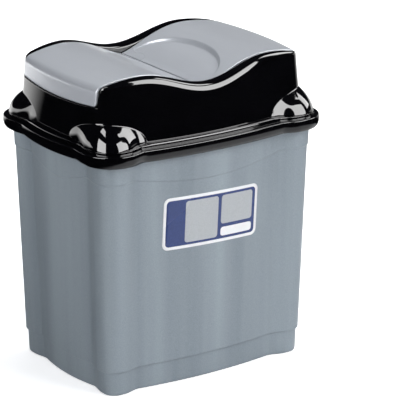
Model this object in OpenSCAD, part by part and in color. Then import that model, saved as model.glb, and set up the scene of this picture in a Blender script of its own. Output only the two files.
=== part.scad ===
// Countertop waste bin with a lift-off cover and two swing flaps.
// Every size is in millimetres. The bin stands on z = 0, its length runs along X,
// and the origin lies under its middle. It is the same on both sides of both middle planes.

/* [Bucket] */
// Length of the bucket at the table, over its corner posts
foot_l = 189.6; // [160:0.2:240]
// Width of the bucket at the table, over its corner posts
foot_w = 134.4; // [120:0.2:180]
// Height of the bucket to the top of its rim
bucket_h = 203.2; // [160:0.2:260]
// Draft of the bucket's walls, in degrees
bucket_draft = 1.5; // [0.5:0.1:3]
// Radius of the corner posts in plan
post_r = 12.2; // [8:0.1:16]
// Wall thickness of the bucket
bucket_wall = 1.6; // [1:0.1:2.4]
// Thickness of the bucket's floor
floor_t = 2.2; // [1.4:0.1:4]
// How far the long panels lie behind the corner posts
long_inset = 3.7; // [1:0.1:5]
// How far the short panels lie behind the corner posts
short_inset = 2.4; // [1:0.1:4]
// How far the long panels bow outwards at their middle
long_bow = 5; // [1:0.1:7]
// How far the short panels bow outwards at their middle
short_bow = 3.9; // [1:0.1:6]
// Length of the S-shaped step from a corner post to a panel
step_w = 15.3; // [8:0.1:20]
// Distance from the outer face of a corner to the start of that step
step_from = 15.9; // [13:0.1:22]

/* [Bucket bands] */
// Height of the set-back base band
base_h = 20; // [10:0.5:35]
// How far the base band is set back
base_inset = 1.6; // [0.6:0.1:3]
// Rounding of the bottom edge
foot_r = 2.6; // [1:0.1:4]
// Height of the recess under the floor
recess_h = 1.5; // [0.6:0.1:3]
// Width of the standing ring round that recess
ring_w = 3; // [2:0.1:6]
// Height of the upper band, from its lower line at the corners to the rim
band_h = 24.2; // [16:0.2:40]
// How much lower the line of the upper band lies at the middle of each side
band_dip = 8.1; // [2:0.1:14]
// How far the upper band stands proud
band_out = 0.8; // [0.3:0.1:1.5]
// Height of the turned-down lip of the bucket's rim
rim_lip_h = 5.6; // [4:0.1:7]

/* [Cover] */
// Wall thickness of the cover
cover_wall = 1.8; // [1.2:0.1:2.4]
// How far the lower edge of the skirt stands out over the corner posts
skirt_out = 7.7; // [7:0.1:10]
// Height of the skirt, up to the rim's first step
skirt_h = 10.2; // [8:0.1:13]
// How far the skirt bulges beyond its lower edge
skirt_bulge = 2.3; // [0.5:0.1:3]
// Height of the second step of the rim above the first one
rim_step_h = 3.7; // [2:0.1:6]
// Free play all round between the cover and the bucket's rim
rim_play = 0.8; // [0.5:0.1:1.2]
// Gap under the cover where it sits on the bucket's rim
seat_gap = 0.3; // [0.2:0.05:0.5]
// Height of the dome, from the rim's top to the crests of its long sides
dome_h = 51; // [40:0.2:70]
// Draft of the dome's walls, in degrees
dome_draft = 5; // [3:0.1:6]
// Length of the dome at its foot, without the bow of its ends
dome_l = 199.2; // [190:0.2:204]
// Width of the dome at its foot, without the bow of its sides
dome_w = 129.4; // [124:0.2:132]
// Radius of the dome's upright corners at its foot
dome_r = 17; // [15:0.1:19]
// Angle at which the bowed long sides run into the corners
dome_long_turn = 14; // [8:0.5:18]
// Angle at which the bowed short sides run into the corners
dome_short_turn = 9.5; // [4:0.5:14]
// Depth of the valley between the two crests
valley_d = 12; // [6:0.2:16]
// Distance of each crest from the middle of the bin
crest_x = 60; // [50:0.5:68]
// Height of the end walls' ledges above the rim's top
ledge_h = 28.2; // [20:0.2:32]
// Width of those ledges
ledge_w = 4.6; // [4.2:0.1:6]
// How much lower a ledge lies at its middle than at its ends
ledge_dip = 1.9; // [0:0.1:4]
// Distance from the outer face of a long side to the opening
brow_w = 13.1; // [12:0.1:15]
// How much nearer to the middle plane the opening's sides lie at its ends
brow_taper = 4.2; // [3.5:0.1:6]
// Width of the rounded shoulder outside the ridge
shoulder_w = 7; // [5:0.1:8]
// Height of that shoulder
shoulder_h = 8; // [5:0.1:10]
// Depth of the apron that hangs inside the long sides
apron_d = 14; // [12:0.1:18]
// Height of the four corner bulges above the rim's top
bulge_h = 18; // [8:0.2:20]
// Reach of a corner bulge along each wall, from the middle of its corner
bulge_reach = 40; // [22:0.5:42]

/* [Flaps] */
// Thickness of the flaps
flap_t = 2; // [1.4:0.1:2.6]
// Clearance round the flaps
flap_gap = 0.8; // [0.6:0.05:1.2]
// Gap between the two flaps
split_gap = 1.2; // [0.8:0.1:2]
// How far the flaps lie below the crests of the dome
flap_drop = 0.4; // [0.2:0.1:3]
// How much deeper the flaps lie at the valley
flap_sink = 6.3; // [0:0.1:7]
// Outer radius where a flap turns down into its lip
lip_r = 7; // [4:0.1:9]
// Radius of the lower corners of that lip
lip_corner_r = 3; // [1:0.1:5]
// Gap between the lip's edge and the ledge
lip_gap = 0.5; // [0.3:0.05:1]
// Width of the flat strip along a flap's inner edge
strip_w = 7; // [4:0.1:10]
// Reach of the finger recess from that strip towards the crest
recess_reach = 32; // [20:0.5:36]
// Half the length of the finger recess
recess_half = 53; // [40:0.5:54]
// Greatest depth of the finger recess
recess_d = 3.4; // [1.5:0.1:4]

/* [Hinges] */
// Distance of each flap's axle from the middle of the bin
axle_x = 50; // [46:0.1:54]
// Depth of the axle below the top of its flap
axle_drop = 7; // [6.6:0.1:7.6]
// Diameter of the stub axles
axle_d = 5; // [4:0.1:6]
// Running clearance of a stub axle in its bore, on the diameter
axle_play = 0.2; // [0.1:0.05:0.3]
// Length of a stub axle beyond the side of its flap
axle_l = 4.6; // [4:0.1:5.2]
// Thickness of the lugs that carry the stub axles
lug_t = 2.6; // [2:0.1:4]
// Wall of the boss round each bore in the cover
boss_wall = 2.2; // [1.6:0.1:2.4]

/* [Hidden] */
$fn = 48;

silver = "#8b959b";
black = "#101014";

// ---- curves ----------------------------------------------------------------------------------

function clamp(v) = min(max(v, 0), 1);
function mix(p, q, t) = p + (q - p) * t;
function smooth(t) = clamp(t) * clamp(t) * (3 - 2 * clamp(t));
function bow(t) = max(0, 1 - t * t);
function half_moon(t) = sqrt(bow(t));
function wave(t) = (1 - cos(180 * t)) / 2;

// ---- plan outlines ---------------------------------------------------------------------------
// An outline is [half length, half width, corner radius, long inset, short inset, long bow,
// short bow, start of the step]. A station is [part, share, x sign, y sign], where part is
// 0 on a long side, 1 on a corner and 2 on a short side, and share runs away from the middle
// on a side, and from the long side to the short side on a corner.

function grow(o, d) = [o[0] + d, o[1] + d, o[2] + d, o[3], o[4], o[5], o[6], o[7] + d];

// Distance of a side from its middle plane, at v along it
function side(v, far, out, inset, rise, from) =
    let (panel = far - from - step_w)
    out - inset * (1 - smooth((v - panel) / step_w)) + rise * bow(v / panel);

function long_side(o, x) = side(x, o[0], o[1], o[3], o[5], o[7]);
function short_side(o, y) = side(y, o[1], o[0], o[4], o[6], o[7]);

function quarter_point(o, part, t) =
    let (x = o[0] - o[2], y = o[1] - o[2])
    part == 0 ? [x * t, long_side(o, x * t)] :
    part == 1 ? [x + o[2] * sin(90 * t), y + o[2] * cos(90 * t)] :
                [short_side(o, y * t), y * t];

function plan(o, s) = let (p = quarter_point(o, s[0], s[1])) [p[0] * s[2], p[1] * s[3]];

function lift(p, z) = [p[0], p[1], z];

// All the stations round the bin, from those of one quarter
function stations(long, arc, short) =
    let (q = concat([for (t = long) [0, t]], [for (t = arc) [1, t]], [for (t = short) [2, t]]),
         n = len(q))
    concat([for (i = [0 : n - 1]) concat(q[i], [1, 1])],
           [for (i = [n - 2 : -1 : 0]) concat(q[i], [1, -1])],
           [for (i = [1 : n - 1]) concat(q[i], [-1, -1])],
           [for (i = [n - 2 : -1 : 1]) concat(q[i], [-1, 1])]);

// ---- skins -----------------------------------------------------------------------------------

// Triangles between ring i and ring j, each of n points
function band_faces(i, j, n) =
    [for (k = [0 : n - 1])
        let (l = (k + 1) % n)
        each [[i * n + k, j * n + l, j * n + k], [i * n + k, i * n + l, j * n + l]]];

// A solid from rings that run from its outside bottom, over its rim, to its inside bottom
module capped_skin(rings) {
    m = len(rings);
    n = len(rings[0]);
    polyhedron([for (r = rings) each r],
               concat([for (i = [0 : m - 2]) each band_faces(i, i + 1, n)],
                      [[for (k = [n - 1 : -1 : 0]) k],
                       [for (k = [0 : n - 1]) (m - 1) * n + k]]));
}

// A hollow ring from rings that come back to the first one
module ring_skin(rings) {
    m = len(rings);
    polyhedron([for (r = rings) each r],
               [for (i = [0 : m - 1]) each band_faces(i, (i + 1) % m, len(rings[0]))]);
}

// Triangles of an m by n grid of points, from point number start on
function grid_faces(m, n, start, flip) =
    [for (i = [0 : m - 2]) for (j = [0 : n - 2])
        let (p = start + i * n + j, q = p + n)
        each (flip ? [[p, p + 1, q + 1], [p, q + 1, q]] : [[p, q + 1, p + 1], [p, q, q + 1]])];

// Triangles that close the edge between two grids along the points of run
function edge_faces(run, shift) =
    [for (k = [0 : len(run) - 2])
        let (p = run[k], q = run[k + 1])
        each [[p, q + shift, q], [p, p + shift, q + shift]]];

// A slab between an upper and a lower grid of points, with the same rows and columns
module slab(upper, lower) {
    m = len(upper);
    n = len(upper[0]);
    polyhedron(concat([for (r = upper) each r], [for (r = lower) each r]),
               concat(grid_faces(m, n, 0, true), grid_faces(m, n, m * n, false),
                      edge_faces([for (j = [0 : n - 1]) j], m * n),
                      edge_faces([for (i = [0 : m - 1]) i * n + n - 1], m * n),
                      edge_faces([for (j = [n - 1 : -1 : 0]) (m - 1) * n + j], m * n),
                      edge_faces([for (i = [m - 1 : -1 : 0]) i * n], m * n)));
}

// ---- bucket ----------------------------------------------------------------------------------

floor_z = recess_h + floor_t;
band_z = bucket_h - band_h;
foot_in = base_inset + foot_r;
base_in = base_inset + bucket_wall;
rim_t = bucket_wall + 0.6;
rim_in = cover_wall + rim_play;
rim_r = 1;
floor_r = 4;
base_slope = 0.6;
band_slope = 0.4;
inner_step = [-1, 2.4];
long_dip = 0.74;
short_dip = 0.52;
dip_power = 1.3;

bucket_stations = stations([0, 0.3, 0.56, 0.74, 0.8, 0.85, 0.9, 0.96],
                           [0, 0.25, 0.5, 0.75, 1],
                           [0.94, 0.86, 0.8, 0.74, 0.66, 0.36, 0]);

// Outline of the corner posts and panels at height z, d outside the wall
function wall_outline(z, d = 0) =
    let (t = z * tan(bucket_draft))
    grow([foot_l / 2 + t, foot_w / 2 + t, post_r, long_inset, short_inset, long_bow, short_bow,
          step_from], d);

function wall_ring(z, d) = [for (s = bucket_stations) lift(plan(wall_outline(z, d), s), z)];

// Height of the upper band's lower line at a station
function band_line(s) =
    let (o = wall_outline(band_z),
         p = plan(o, s),
         v = s[0] == 0 ? abs(p[0]) / (o[0] * long_dip) :
             s[0] == 2 ? abs(p[1]) / (o[1] * short_dip) : 1)
    band_z - band_dip * pow(bow(v), dip_power);

function band_ring(dz, d) =
    [for (s = bucket_stations)
        let (z = band_line(s) + dz)
        lift(plan(wall_outline(z, d), s), z)];

// A ring of the bucket's rim, d inside the lower edge of the cover's skirt
function rim_ring(z, d) = [for (s = bucket_stations) lift(plan(grow(skirt_outline, -d), s), z)];

module bucket() {
    color(silver) capped_skin([
        wall_ring(recess_h, -foot_in - ring_w - recess_h),
        wall_ring(0, -foot_in - ring_w),
        wall_ring(0, -foot_in),
        wall_ring(foot_r * (1 - sin(45)), -base_inset - foot_r * (1 - cos(45))),
        wall_ring(foot_r, -base_inset),
        wall_ring(base_h, -base_inset),
        wall_ring(base_h + base_slope, 0),
        band_ring(-band_slope, 0),
        band_ring(band_slope, band_out),
        wall_ring(bucket_h - rim_t, band_out),
        rim_ring(bucket_h - rim_t, rim_in + bucket_wall),
        rim_ring(bucket_h - rim_lip_h, rim_in + bucket_wall),
        rim_ring(bucket_h - rim_lip_h, rim_in),
        rim_ring(bucket_h - rim_r, rim_in),
        rim_ring(bucket_h, rim_in + rim_r),
        wall_ring(bucket_h, rim_r - bucket_wall),
        wall_ring(bucket_h - rim_r, -bucket_wall),
        wall_ring(base_h + inner_step[1], -bucket_wall),
        wall_ring(base_h + inner_step[0], -base_in),
        wall_ring(floor_z + floor_r, -base_in),
        wall_ring(floor_z + floor_r * (1 - sin(45)), -base_in - floor_r * (1 - cos(45))),
        wall_ring(floor_z, -base_in - floor_r),
    ]);
}

// ---- cover -----------------------------------------------------------------------------------

ledge_z = bucket_h + seat_gap + cover_wall;
skirt_z = ledge_z - skirt_h;
rim_z = ledge_z + rim_step_h;
crest_z = rim_z + dome_h;
valley_z = crest_z - valley_d;
notch_z = rim_z + ledge_h;

// Curvature of the wave beyond its crests, and the skew of the flaps' wave towards the valley
crest_fall = 0.0042;
flap_power = 0.72;
// The opening's corners, and the cheeks between its sides and its ends
mouth_r = 1.5;
cheek_w = 0.22;
cheek_power = 0.45;
// The ridge: its place across the brow, its roundings, and those of the ledges
brow_share = 0.55;
shoulder_power = 0.75;
ridge_r = 3.4;
ledge_r = 0.8;
ledge_ridge = 1.2;
ledge_lip = 3;
// The rim's second step: how far it is set back, its rounding, and its lean at the corners
step_in = 2.3;
step_r = 0.8;
corner_in = 2.5;
corner_lean = 0.25;
// The flanks: where their foot lies, their least height, and their curves at bulge and crease
flank_in = 4.4;
flank_low = 1;
flank_power = 1.1;
crease_power = 2;
// The skin's inside: how much deeper than the wall it turns under the ridge, and at the skirt
inner_drop = [1.4, 0.3, 0.8];
inner_skirt = 0.3;

// The skirt's section, from its lower edge up, as shares of its bulge and its height
skirt_curve = [[0, 0], [0.6, 0.17], [0.95, 0.4], [1, 0.62], [0.96, 0.84], [0.76, 0.96], [0.4, 1]];

// The skirt has rounder corners than the posts, with shallower and longer steps beside them
skirt_outline =
    let (o = wall_outline(skirt_z, skirt_out), rounder = 10.4, shallower = 1.1, later = 11)
    [o[0], o[1], post_r + rounder, long_inset, short_inset - shallower, long_bow, short_bow,
     step_from + later];

// Centre of a corner of the dome, and the radius of that corner at height z, d outside it
dome_x = dome_l / 2 - dome_r;
dome_y = dome_w / 2 - dome_r;
function dome_arc(z, d = 0) = dome_r + d - (z - rim_z) * tan(dome_draft);

// A bowed side of the dome, at v along it; along and across give the centre of its corner
function dome_side(v, along, across, r, turn) =
    let (end = along + r * sin(turn))
    across + r * cos(turn) + tan(turn) * (end - v * v / end) / 2;

function dome_long(x, r) = dome_side(x, dome_x, dome_y, r, dome_long_turn);
function dome_short(y, r) = dome_side(y, dome_y, dome_x, r, dome_short_turn);

// The dome's outer face at a station, where its corners have the radius r
function dome_plan(s, r) =
    let (q = mix(dome_long_turn, 90 - dome_short_turn, s[1]),
         x = (dome_x + r * sin(dome_long_turn)) * s[1],
         y = (dome_y + r * sin(dome_short_turn)) * s[1],
         p = s[0] == 0 ? [x, dome_long(x, r)] :
             s[0] == 1 ? [dome_x + r * sin(q), dome_y + r * cos(q)] :
                         [dome_short(y, r), y])
    [p[0] * s[2], p[1] * s[3]];

notch_r = dome_arc(notch_z);

// The outer face of an end wall at the height of its ledge, round into the corner
function end_x(y) =
    y < dome_y + notch_r * sin(dome_short_turn) ? dome_short(y, notch_r) :
    dome_x + sqrt(notch_r * notch_r - pow(y - dome_y, 2));

// Height of the ridge over a long side
function ridge_z(x) =
    x < crest_x ? mix(valley_z, crest_z, wave(x / crest_x)) : crest_z - crest_fall * pow(x - crest_x, 2);

// The opening: half its width at x, and the distance of its end edge from the middle at y
mouth_long = dome_long(0, notch_r) - brow_w;
function mouth_half(x) = mouth_long - brow_taper * pow(x / dome_x, 2);
function mouth_end(y) = end_x(y) - ledge_w;
mouth_y = mouth_half(dome_x + 6);
mouth_x = mouth_end(mouth_y);

// Shares of a corner between which the cheek falls from the ridge to the ledge
cheek_foot = (acos((mouth_y - dome_y) / notch_r) - dome_long_turn) / (90 - dome_long_turn - dome_short_turn);
cheek_top = cheek_foot - cheek_w;
cheek_end = dome_plan([1, cheek_top, 1, 1], notch_r);

cover_stations = stations([0, 0.18, 0.36, 0.53, 0.68, 0.76, 0.82, 0.88, 0.94],
                          concat([0, 0.5 * cheek_top],
                                 [for (k = [0, 0.35, 0.65, 0.88, 1]) cheek_top + cheek_w * k],
                                 [0.8, 1]),
                          [0.96, 0.85, 0.7, 0.5, 0.25, 0]);

// 0 along the end walls and 1 along the long sides, with a steep cheek between them
function cheek_turn(s) = s[0] == 0 ? 1 : s[0] == 2 ? 0 : clamp((cheek_foot - s[1]) / cheek_w);
function cheek(s) = pow(cheek_turn(s), cheek_power);

// Height of the dome's top at a station whose outer face is at p
function top_z(s, p) =
    mix(notch_z + ledge_dip * min(1, pow(abs(p[1]) / mouth_y, 2)), ridge_z(abs(p[0])), cheek(s));

// The point of the opening's edge that belongs to a station whose outer face is at p
function mouth_point(s, p) =
    let (corner = [mouth_x - mouth_r, mouth_y - mouth_r],
         turn = cheek_turn(s),
         x = abs(p[0]) * corner[0] / cheek_end[0],
         y = abs(p[1]) * corner[1] / mouth_y,
         q = turn == 1 ? [x, mouth_half(x)] :
             turn == 0 ? [mouth_end(y), y] :
             corner + mouth_r * [cos(90 * turn), sin(90 * turn)])
    [q[0] * s[2], q[1] * s[3]];

// How much of a corner bulge a station has, from 0 to 1
function bulge(s) =
    let (half_arc = PI * dome_r / 4,
         run = s[0] == 0 ? half_arc + dome_x * (1 - s[1]) :
               s[0] == 2 ? half_arc + dome_y * (1 - s[1]) :
               half_arc * abs(2 * s[1] - 1))
    half_moon(pow(run / bulge_reach, 2));

function skirt_point(s, d, z) = lift(plan(grow(skirt_outline, d), s), z);

// A point on the flank between the rim and the dome, d outside it, with q from 0 to 1 up it.
// A bulge flows out of the rim at its corner, and meets the wall in a crease at its ends.
function flank_point(s, q, d, dz) =
    let (b = bulge(s),
         z = rim_z + mix(flank_low, bulge_h, b) * q,
         reach = plan(grow(skirt_outline, -mix(flank_in, corner_in, b)), s) - dome_plan(s, dome_r),
         share = b * (1 - wave(pow(q, mix(crease_power, flank_power, b * b)))))
    lift(dome_plan(s, dome_arc(z, d)) + reach * share, z + dz);

// Profile of the cover at a station, from the skirt's lower edge up the outside, over the
// ridge, down the apron and back along the inside
function cover_profile(s) =
    let (t = cover_wall,
         b = bulge(s),
         edge = mix(step_in + step_r, corner_in, b),
         c = cheek(s),
         p = dome_plan(s, notch_r),
         zt = top_z(s, p),
         mouth = mouth_point(s, p),
         room = min(1, brow_share * norm(mouth - p) / shoulder_w),
         sh = mix(1, shoulder_h * room, c),
         d = dome_plan(s, dome_arc(zt - sh)),
         width = norm(mouth - d),
         w = (mouth - d) / width,
         half = width / 2 - 0.2,
         ridge = d + w * min(mix(ledge_ridge, shoulder_w, c), brow_share * width),
         fall = mix(ledge_r, ridge_r, c),
         lip_z = zt - mix(t + ledge_lip, apron_d, c))
    concat(
        [for (k = skirt_curve) skirt_point(s, skirt_bulge * k[0], skirt_z + skirt_h * k[1])],
        [skirt_point(s, corner_lean * b - step_in, ledge_z),
         skirt_point(s, -step_in, rim_z - step_r),
         skirt_point(s, 0.1 - edge, rim_z)],
        [for (q = [0, 0.25, 0.5, 0.75, 1]) flank_point(s, q, 0, 0)],
        [for (q = [0, 30, 60, 90])
            let (out = pow(cos(q), shoulder_power), up = pow(sin(q), shoulder_power))
            lift(ridge + (d - ridge) * out, zt - sh + sh * up)],
        [for (q = [40, 90]) lift(ridge + (mouth - ridge) * sin(q), zt - fall + fall * cos(q))],
        [lift(mouth, lip_z),
         lift(mouth - w * min(t, half), lip_z),
         lift(mouth - w * min(t, half), zt - fall - inner_drop[0]),
         lift((mouth + d) / 2, zt - t - inner_drop[1]),
         lift(d + w * min(t, half), zt - sh - inner_drop[2])],
        [for (q = [1, 0.5, 0]) flank_point(s, q, -t, q - t)],
        [skirt_point(s, -edge - t, rim_z - t),
         skirt_point(s, -step_in - t, ledge_z - t),
         skirt_point(s, skirt_bulge - t - inner_skirt, ledge_z - t),
         skirt_point(s, skirt_bulge - t, skirt_z + skirt_h * 0.6),
         skirt_point(s, -t, skirt_z)]);

// Height of the axles, and what lies along each of them
axle_z = flap_z(axle_x) - axle_drop;
axle_end = mouth_half(axle_x) + axle_l;
bore_d = axle_d + axle_play;

// Something at the four sockets, drawn along +Z from the opening's edge outwards
module at_sockets() {
    for (sx = [-1, 1], sy = [-1, 1])
        translate([sx * axle_x, sy * mouth_half(axle_x), axle_z])
            rotate([-90 * sy, 0, 0]) children();
}

module cover() {
    profiles = [for (s = cover_stations) cover_profile(s)];
    color(black) difference() {
        union() {
            ring_skin([for (k = [0 : len(profiles[0]) - 1]) [for (p = profiles) p[k]]]);
            at_sockets() translate([0, 0, 0.9]) cylinder(d = bore_d + 2 * boss_wall, h = axle_l - 0.4);
        }
        at_sockets() translate([0, 0, -2]) cylinder(d = bore_d, h = axle_l + 4);
    }
}

// ---- flaps -----------------------------------------------------------------------------------

lip_angle = 11;
lip_back = 0.8;
recess_start = 1.5;
recess_edge = 2.4;
recess_wall = 0.7;
flap_shares = [0.25, 0.5, 0.7, 0.84, 0.9, 0.94, 0.965, 0.985, 1];
flap_columns = concat([for (k = [8 : -1 : 0]) -flap_shares[k]], [0], flap_shares);

// Height of a flap's top, away from its recess
function flap_z(x) =
    let (crest = crest_z - flap_drop)
    x < crest_x ? mix(valley_z - flap_drop - flap_sink, crest, wave(pow(max(x, 0) / crest_x, flap_power)))
                : crest - crest_fall * pow(x - crest_x, 2);

function flap_tilt(x) = atan(flap_z(x - 0.5) - flap_z(x + 0.5));

function flap_half(x) = mouth_half(x) - flap_gap;

// The lip: centre of its rounding, and its lower edge
lip_x = end_x(mouth_y) - lip_r - lip_back;
lip_z = flap_z(lip_x + lip_r * sin(lip_angle)) - lip_r * cos(lip_angle);
lip_foot = notch_z + lip_gap;

// Height of the lip's lower edge at y: it follows the ledge, and its corners are rounded
function lip_edge(y) =
    let (corner = abs(y) - flap_half(end_x(mouth_y)) + lip_corner_r)
    lip_foot + ledge_dip * min(1, pow(y / mouth_y, 2))
    + lip_corner_r * (1 - half_moon(max(0, corner) / lip_corner_r));

// The arc of the finger recess at y
function recess_arc(y) = half_moon(y / recess_half);

// Lines across a flap from its inner edge to its lip, each as [x, z, tilt, depth of the recess]
function flap_line(i, y) =
    let (from = strip_w + recess_start,
         arc = recess_arc(y),
         near = from + (recess_reach - recess_edge) * arc,
         far = from + recess_wall + recess_reach * arc,
         x = i == 0 ? split_gap / 2 : i == 1 ? strip_w : i == 2 ? from :
             i < 5 ? mix(from, near, (i - 2) / 2) + 0.15 * (i - 2) :
             i < 9 ? mix(far, crest_x, (i - 5) / 4) :
             mix(crest_x, lip_x + lip_r * sin(lip_angle), (i - 9) / 3),
         sunk = i == 3 ? 0.4 : i == 4 ? 1 : 0,
         turn = mix(lip_angle, 90, (i - 12) / 4))
    i < 13 ? [x, flap_z(x), flap_tilt(x), recess_d * arc * sunk] :
    i < 17 ? [lip_x + lip_r * sin(turn), lip_z + lip_r * cos(turn), turn, 0] :
             [end_x(mouth_y), lip_edge(y), 90 - dome_draft, 0];

// A point of a flap, d below its top face; v runs from -1 to 1 across it
function flap_point(i, v, d) =
    let (x = flap_line(i, v * mouth_long)[0],
         y = v * flap_half(x),
         line = flap_line(i, y),
         lead = end_x(abs(y)) - end_x(mouth_y),
         drift = lead * smooth((line[0] - crest_x) / (lip_x - crest_x)))
    [line[0] + drift - d * sin(line[2]), y, line[1] - line[3] - d * cos(line[2])];

module flap() {
    rows = [0 : 17];
    lug_r = axle_d / 2 + 2;
    lug_y = flap_half(axle_x + lug_r);
    color(silver) {
        slab([for (i = rows) [for (v = flap_columns) flap_point(i, v, 0)]],
             [for (i = rows) [for (v = flap_columns) flap_point(i, v, flap_t)]]);
        for (s = [0, 1]) mirror([0, s, 0]) translate([axle_x, lug_y, axle_z]) rotate([90, 0, 0]) {
            cylinder(r = lug_r, h = lug_t);
            translate([-lug_r, 0, 0]) cube([2 * lug_r, axle_drop - flap_t + 0.8, lug_t]);
            translate([0, 0, lug_y - axle_end]) cylinder(d = axle_d, h = axle_end - lug_y + lug_t);
        }
    }
}

module flap_right() {
    flap();
}

module flap_left() {
    mirror([1, 0, 0]) flap();
}

bucket();
cover();
flap_left();
flap_right();
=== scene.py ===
"""Countertop waste bin with a lift-off cover and two swing flaps: the pieces, finishes and studio.

All sizes in the classes are in millimetres, in the CAD model's frame: the bin stands on z = 0,
its length runs along X, and the printed label is on the -Y side.
"""

from __future__ import annotations

import logging
import math
from dataclasses import dataclass, field, replace
from enum import Enum

import bmesh
import bpy
import numpy as np
from mathutils import Matrix, Vector

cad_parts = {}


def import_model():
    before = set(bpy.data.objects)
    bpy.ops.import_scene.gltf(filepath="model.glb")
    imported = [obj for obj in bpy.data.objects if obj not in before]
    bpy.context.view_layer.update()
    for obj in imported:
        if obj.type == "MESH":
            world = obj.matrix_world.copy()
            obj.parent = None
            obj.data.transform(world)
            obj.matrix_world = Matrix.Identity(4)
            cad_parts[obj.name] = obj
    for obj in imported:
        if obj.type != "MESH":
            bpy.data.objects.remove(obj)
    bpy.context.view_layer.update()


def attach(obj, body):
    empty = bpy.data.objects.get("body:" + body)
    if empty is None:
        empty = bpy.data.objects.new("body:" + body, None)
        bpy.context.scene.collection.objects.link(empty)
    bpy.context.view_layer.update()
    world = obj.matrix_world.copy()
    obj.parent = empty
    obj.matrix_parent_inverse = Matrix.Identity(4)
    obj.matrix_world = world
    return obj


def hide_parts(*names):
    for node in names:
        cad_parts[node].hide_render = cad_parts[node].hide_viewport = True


LOG = logging.getLogger("bin")

Array = np.ndarray
Mesh = bmesh.types.BMesh
Piece = bpy.types.Object
Material = bpy.types.Material
Number = float | Array
Pair = tuple[float, float]
Color = tuple[float, float, float]
Point = tuple[float, float, float]
Socket = bpy.types.NodeSocket
Value = Socket | float

MM = 0.001
TINY = 1e-9
SMOOTH = 1e3  # a row's radius that rounds it as far as its neighbours allow
SMOOTH_SHARE, ROUND_SHARE = 0.49, 0.44  # the most of the way to a neighbour that a rounding takes
SUPPORT = 1.1  # how far out a rounding's support rings lie, from its radius
WATTS = 4.0  # an area lamp's power for each square metre and unit of radiance
EDGE_STEPS = (0, 0.08, 0.25, 0.5, 0.75, 1.0)  # where a rounded edge has its rows, as shares of it


class Side(Enum):
    """The two ends of the bin."""

    LEFT = -1
    RIGHT = 1


# ---- curves ------------------------------------------------------------------------------------


def clamp(v: Array) -> Array:
    """Limits every value to 0..1."""
    return np.clip(v, 0.0, 1.0)


def mix(a: Array, b: Array, t: Array) -> Array:
    """Goes from a to b as t goes from 0 to 1."""
    return a + (b - a) * t


def smooth(t: Array) -> Array:
    """S-shaped ramp from 0 to 1."""
    t = clamp(t)
    return t * t * (3 - 2 * t)


def bow(t: Array) -> Array:
    """Parabola that is 1 in the middle and 0 at t = 1."""
    return np.maximum(0.0, 1 - np.square(t))


def wave(t: Array) -> Array:
    """Cosine wave that is 0 at t = 0 and 1 at t = 1."""
    return (1 - np.cos(np.pi * np.asarray(t))) / 2


def sind(a: Array) -> Array:
    """Sine of an angle in degrees."""
    return np.sin(np.radians(a))


def cosd(a: Array) -> Array:
    """Cosine of an angle in degrees."""
    return np.cos(np.radians(a))


# ---- stations and skins ------------------------------------------------------------------------


@dataclass(frozen=True)
class Stations:
    """Places round the bin: part 0 is a long side, 1 a corner and 2 a short side."""

    part: Array
    share: Array
    sx: Array
    sy: Array

    @classmethod
    def around(cls, long: Array, arc: Array, short: Array) -> Stations:
        """Makes the stations of a whole turn from those of one quarter.

        Args:
            long: shares of a long side, from its middle.
            arc: shares of a corner, from the long side.
            short: shares of a short side, from the corner to its middle.

        Returns:
            The stations in order.
        """
        quarter = [(0, t) for t in long] + [(1, t) for t in arc] + [(2, t) for t in short]
        n = len(quarter)
        order = [(quarter[i], 1, 1) for i in range(n)]
        order += [(quarter[i], 1, -1) for i in range(n - 2, -1, -1)]
        order += [(quarter[i], -1, -1) for i in range(1, n)]
        order += [(quarter[i], -1, 1) for i in range(n - 2, 0, -1)]
        table = np.array([(q[0], q[1], sx, sy) for q, sx, sy in order], dtype=float)
        return cls(table[:, 0], table[:, 1], table[:, 2], table[:, 3])

    def pick(self, long: Array, arc: Array, short: Array) -> Array:
        """Chooses between three arrays by the part that each station is on."""
        return np.where(self.part == 0, long, np.where(self.part == 1, arc, short))

    def signed(self, x: Array, y: Array) -> Array:
        """Puts the quarter's points x, y into each station's own quarter."""
        return np.stack([x * self.sx, y * self.sy], axis=-1)


def lift(p: Array, z: Number) -> Array:
    """Adds one more coordinate or mark to points."""
    return np.concatenate([p, np.broadcast_to(np.asarray(z, float), p.shape[:-1])[..., None]], -1)


def unit(v: Array) -> Array:
    """Vectors of length 1."""
    return v / np.maximum(np.linalg.norm(v, axis=-1, keepdims=True), TINY)


def rounded(rows: list[tuple[Array, float]], closed: bool, steps: int = 6) -> Array:
    """Rounds the corners of a profile that is given at every station.

    Args:
        rows: control points of the profile, each an array of one point a station, and how far
            from it its rounding starts; SMOOTH rounds as far as the neighbours allow.
        closed: whether the last row joins the first.
        steps: points in a rounding.

    Returns:
        The rings of the rounded profile.
    """
    points = [p for p, _ in rows]
    rings: list[Array] = []
    for k, (p, r) in enumerate(rows):
        end = not closed and k in (0, len(rows) - 1)
        if end or np.max(r) <= 0:
            rings.append(p)
            continue
        before, after = points[k - 1] - p, points[(k + 1) % len(points)] - p
        sides = []
        flowing = np.max(r) >= SMOOTH
        most = SMOOTH_SHARE if flowing else ROUND_SHARE
        for way in (before, after):
            length = np.linalg.norm(way[..., :3], axis=-1, keepdims=True)
            sides.append(way * np.minimum(r / np.maximum(length, TINY), most))
        turn = [p + sides[0] * (1 - t) ** 2 + sides[1] * t**2 for t in np.linspace(0, 1, steps)]
        rings += turn if flowing else [p + sides[0] * SUPPORT, *turn, p + sides[1] * SUPPORT]
    return np.stack(rings)


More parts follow.
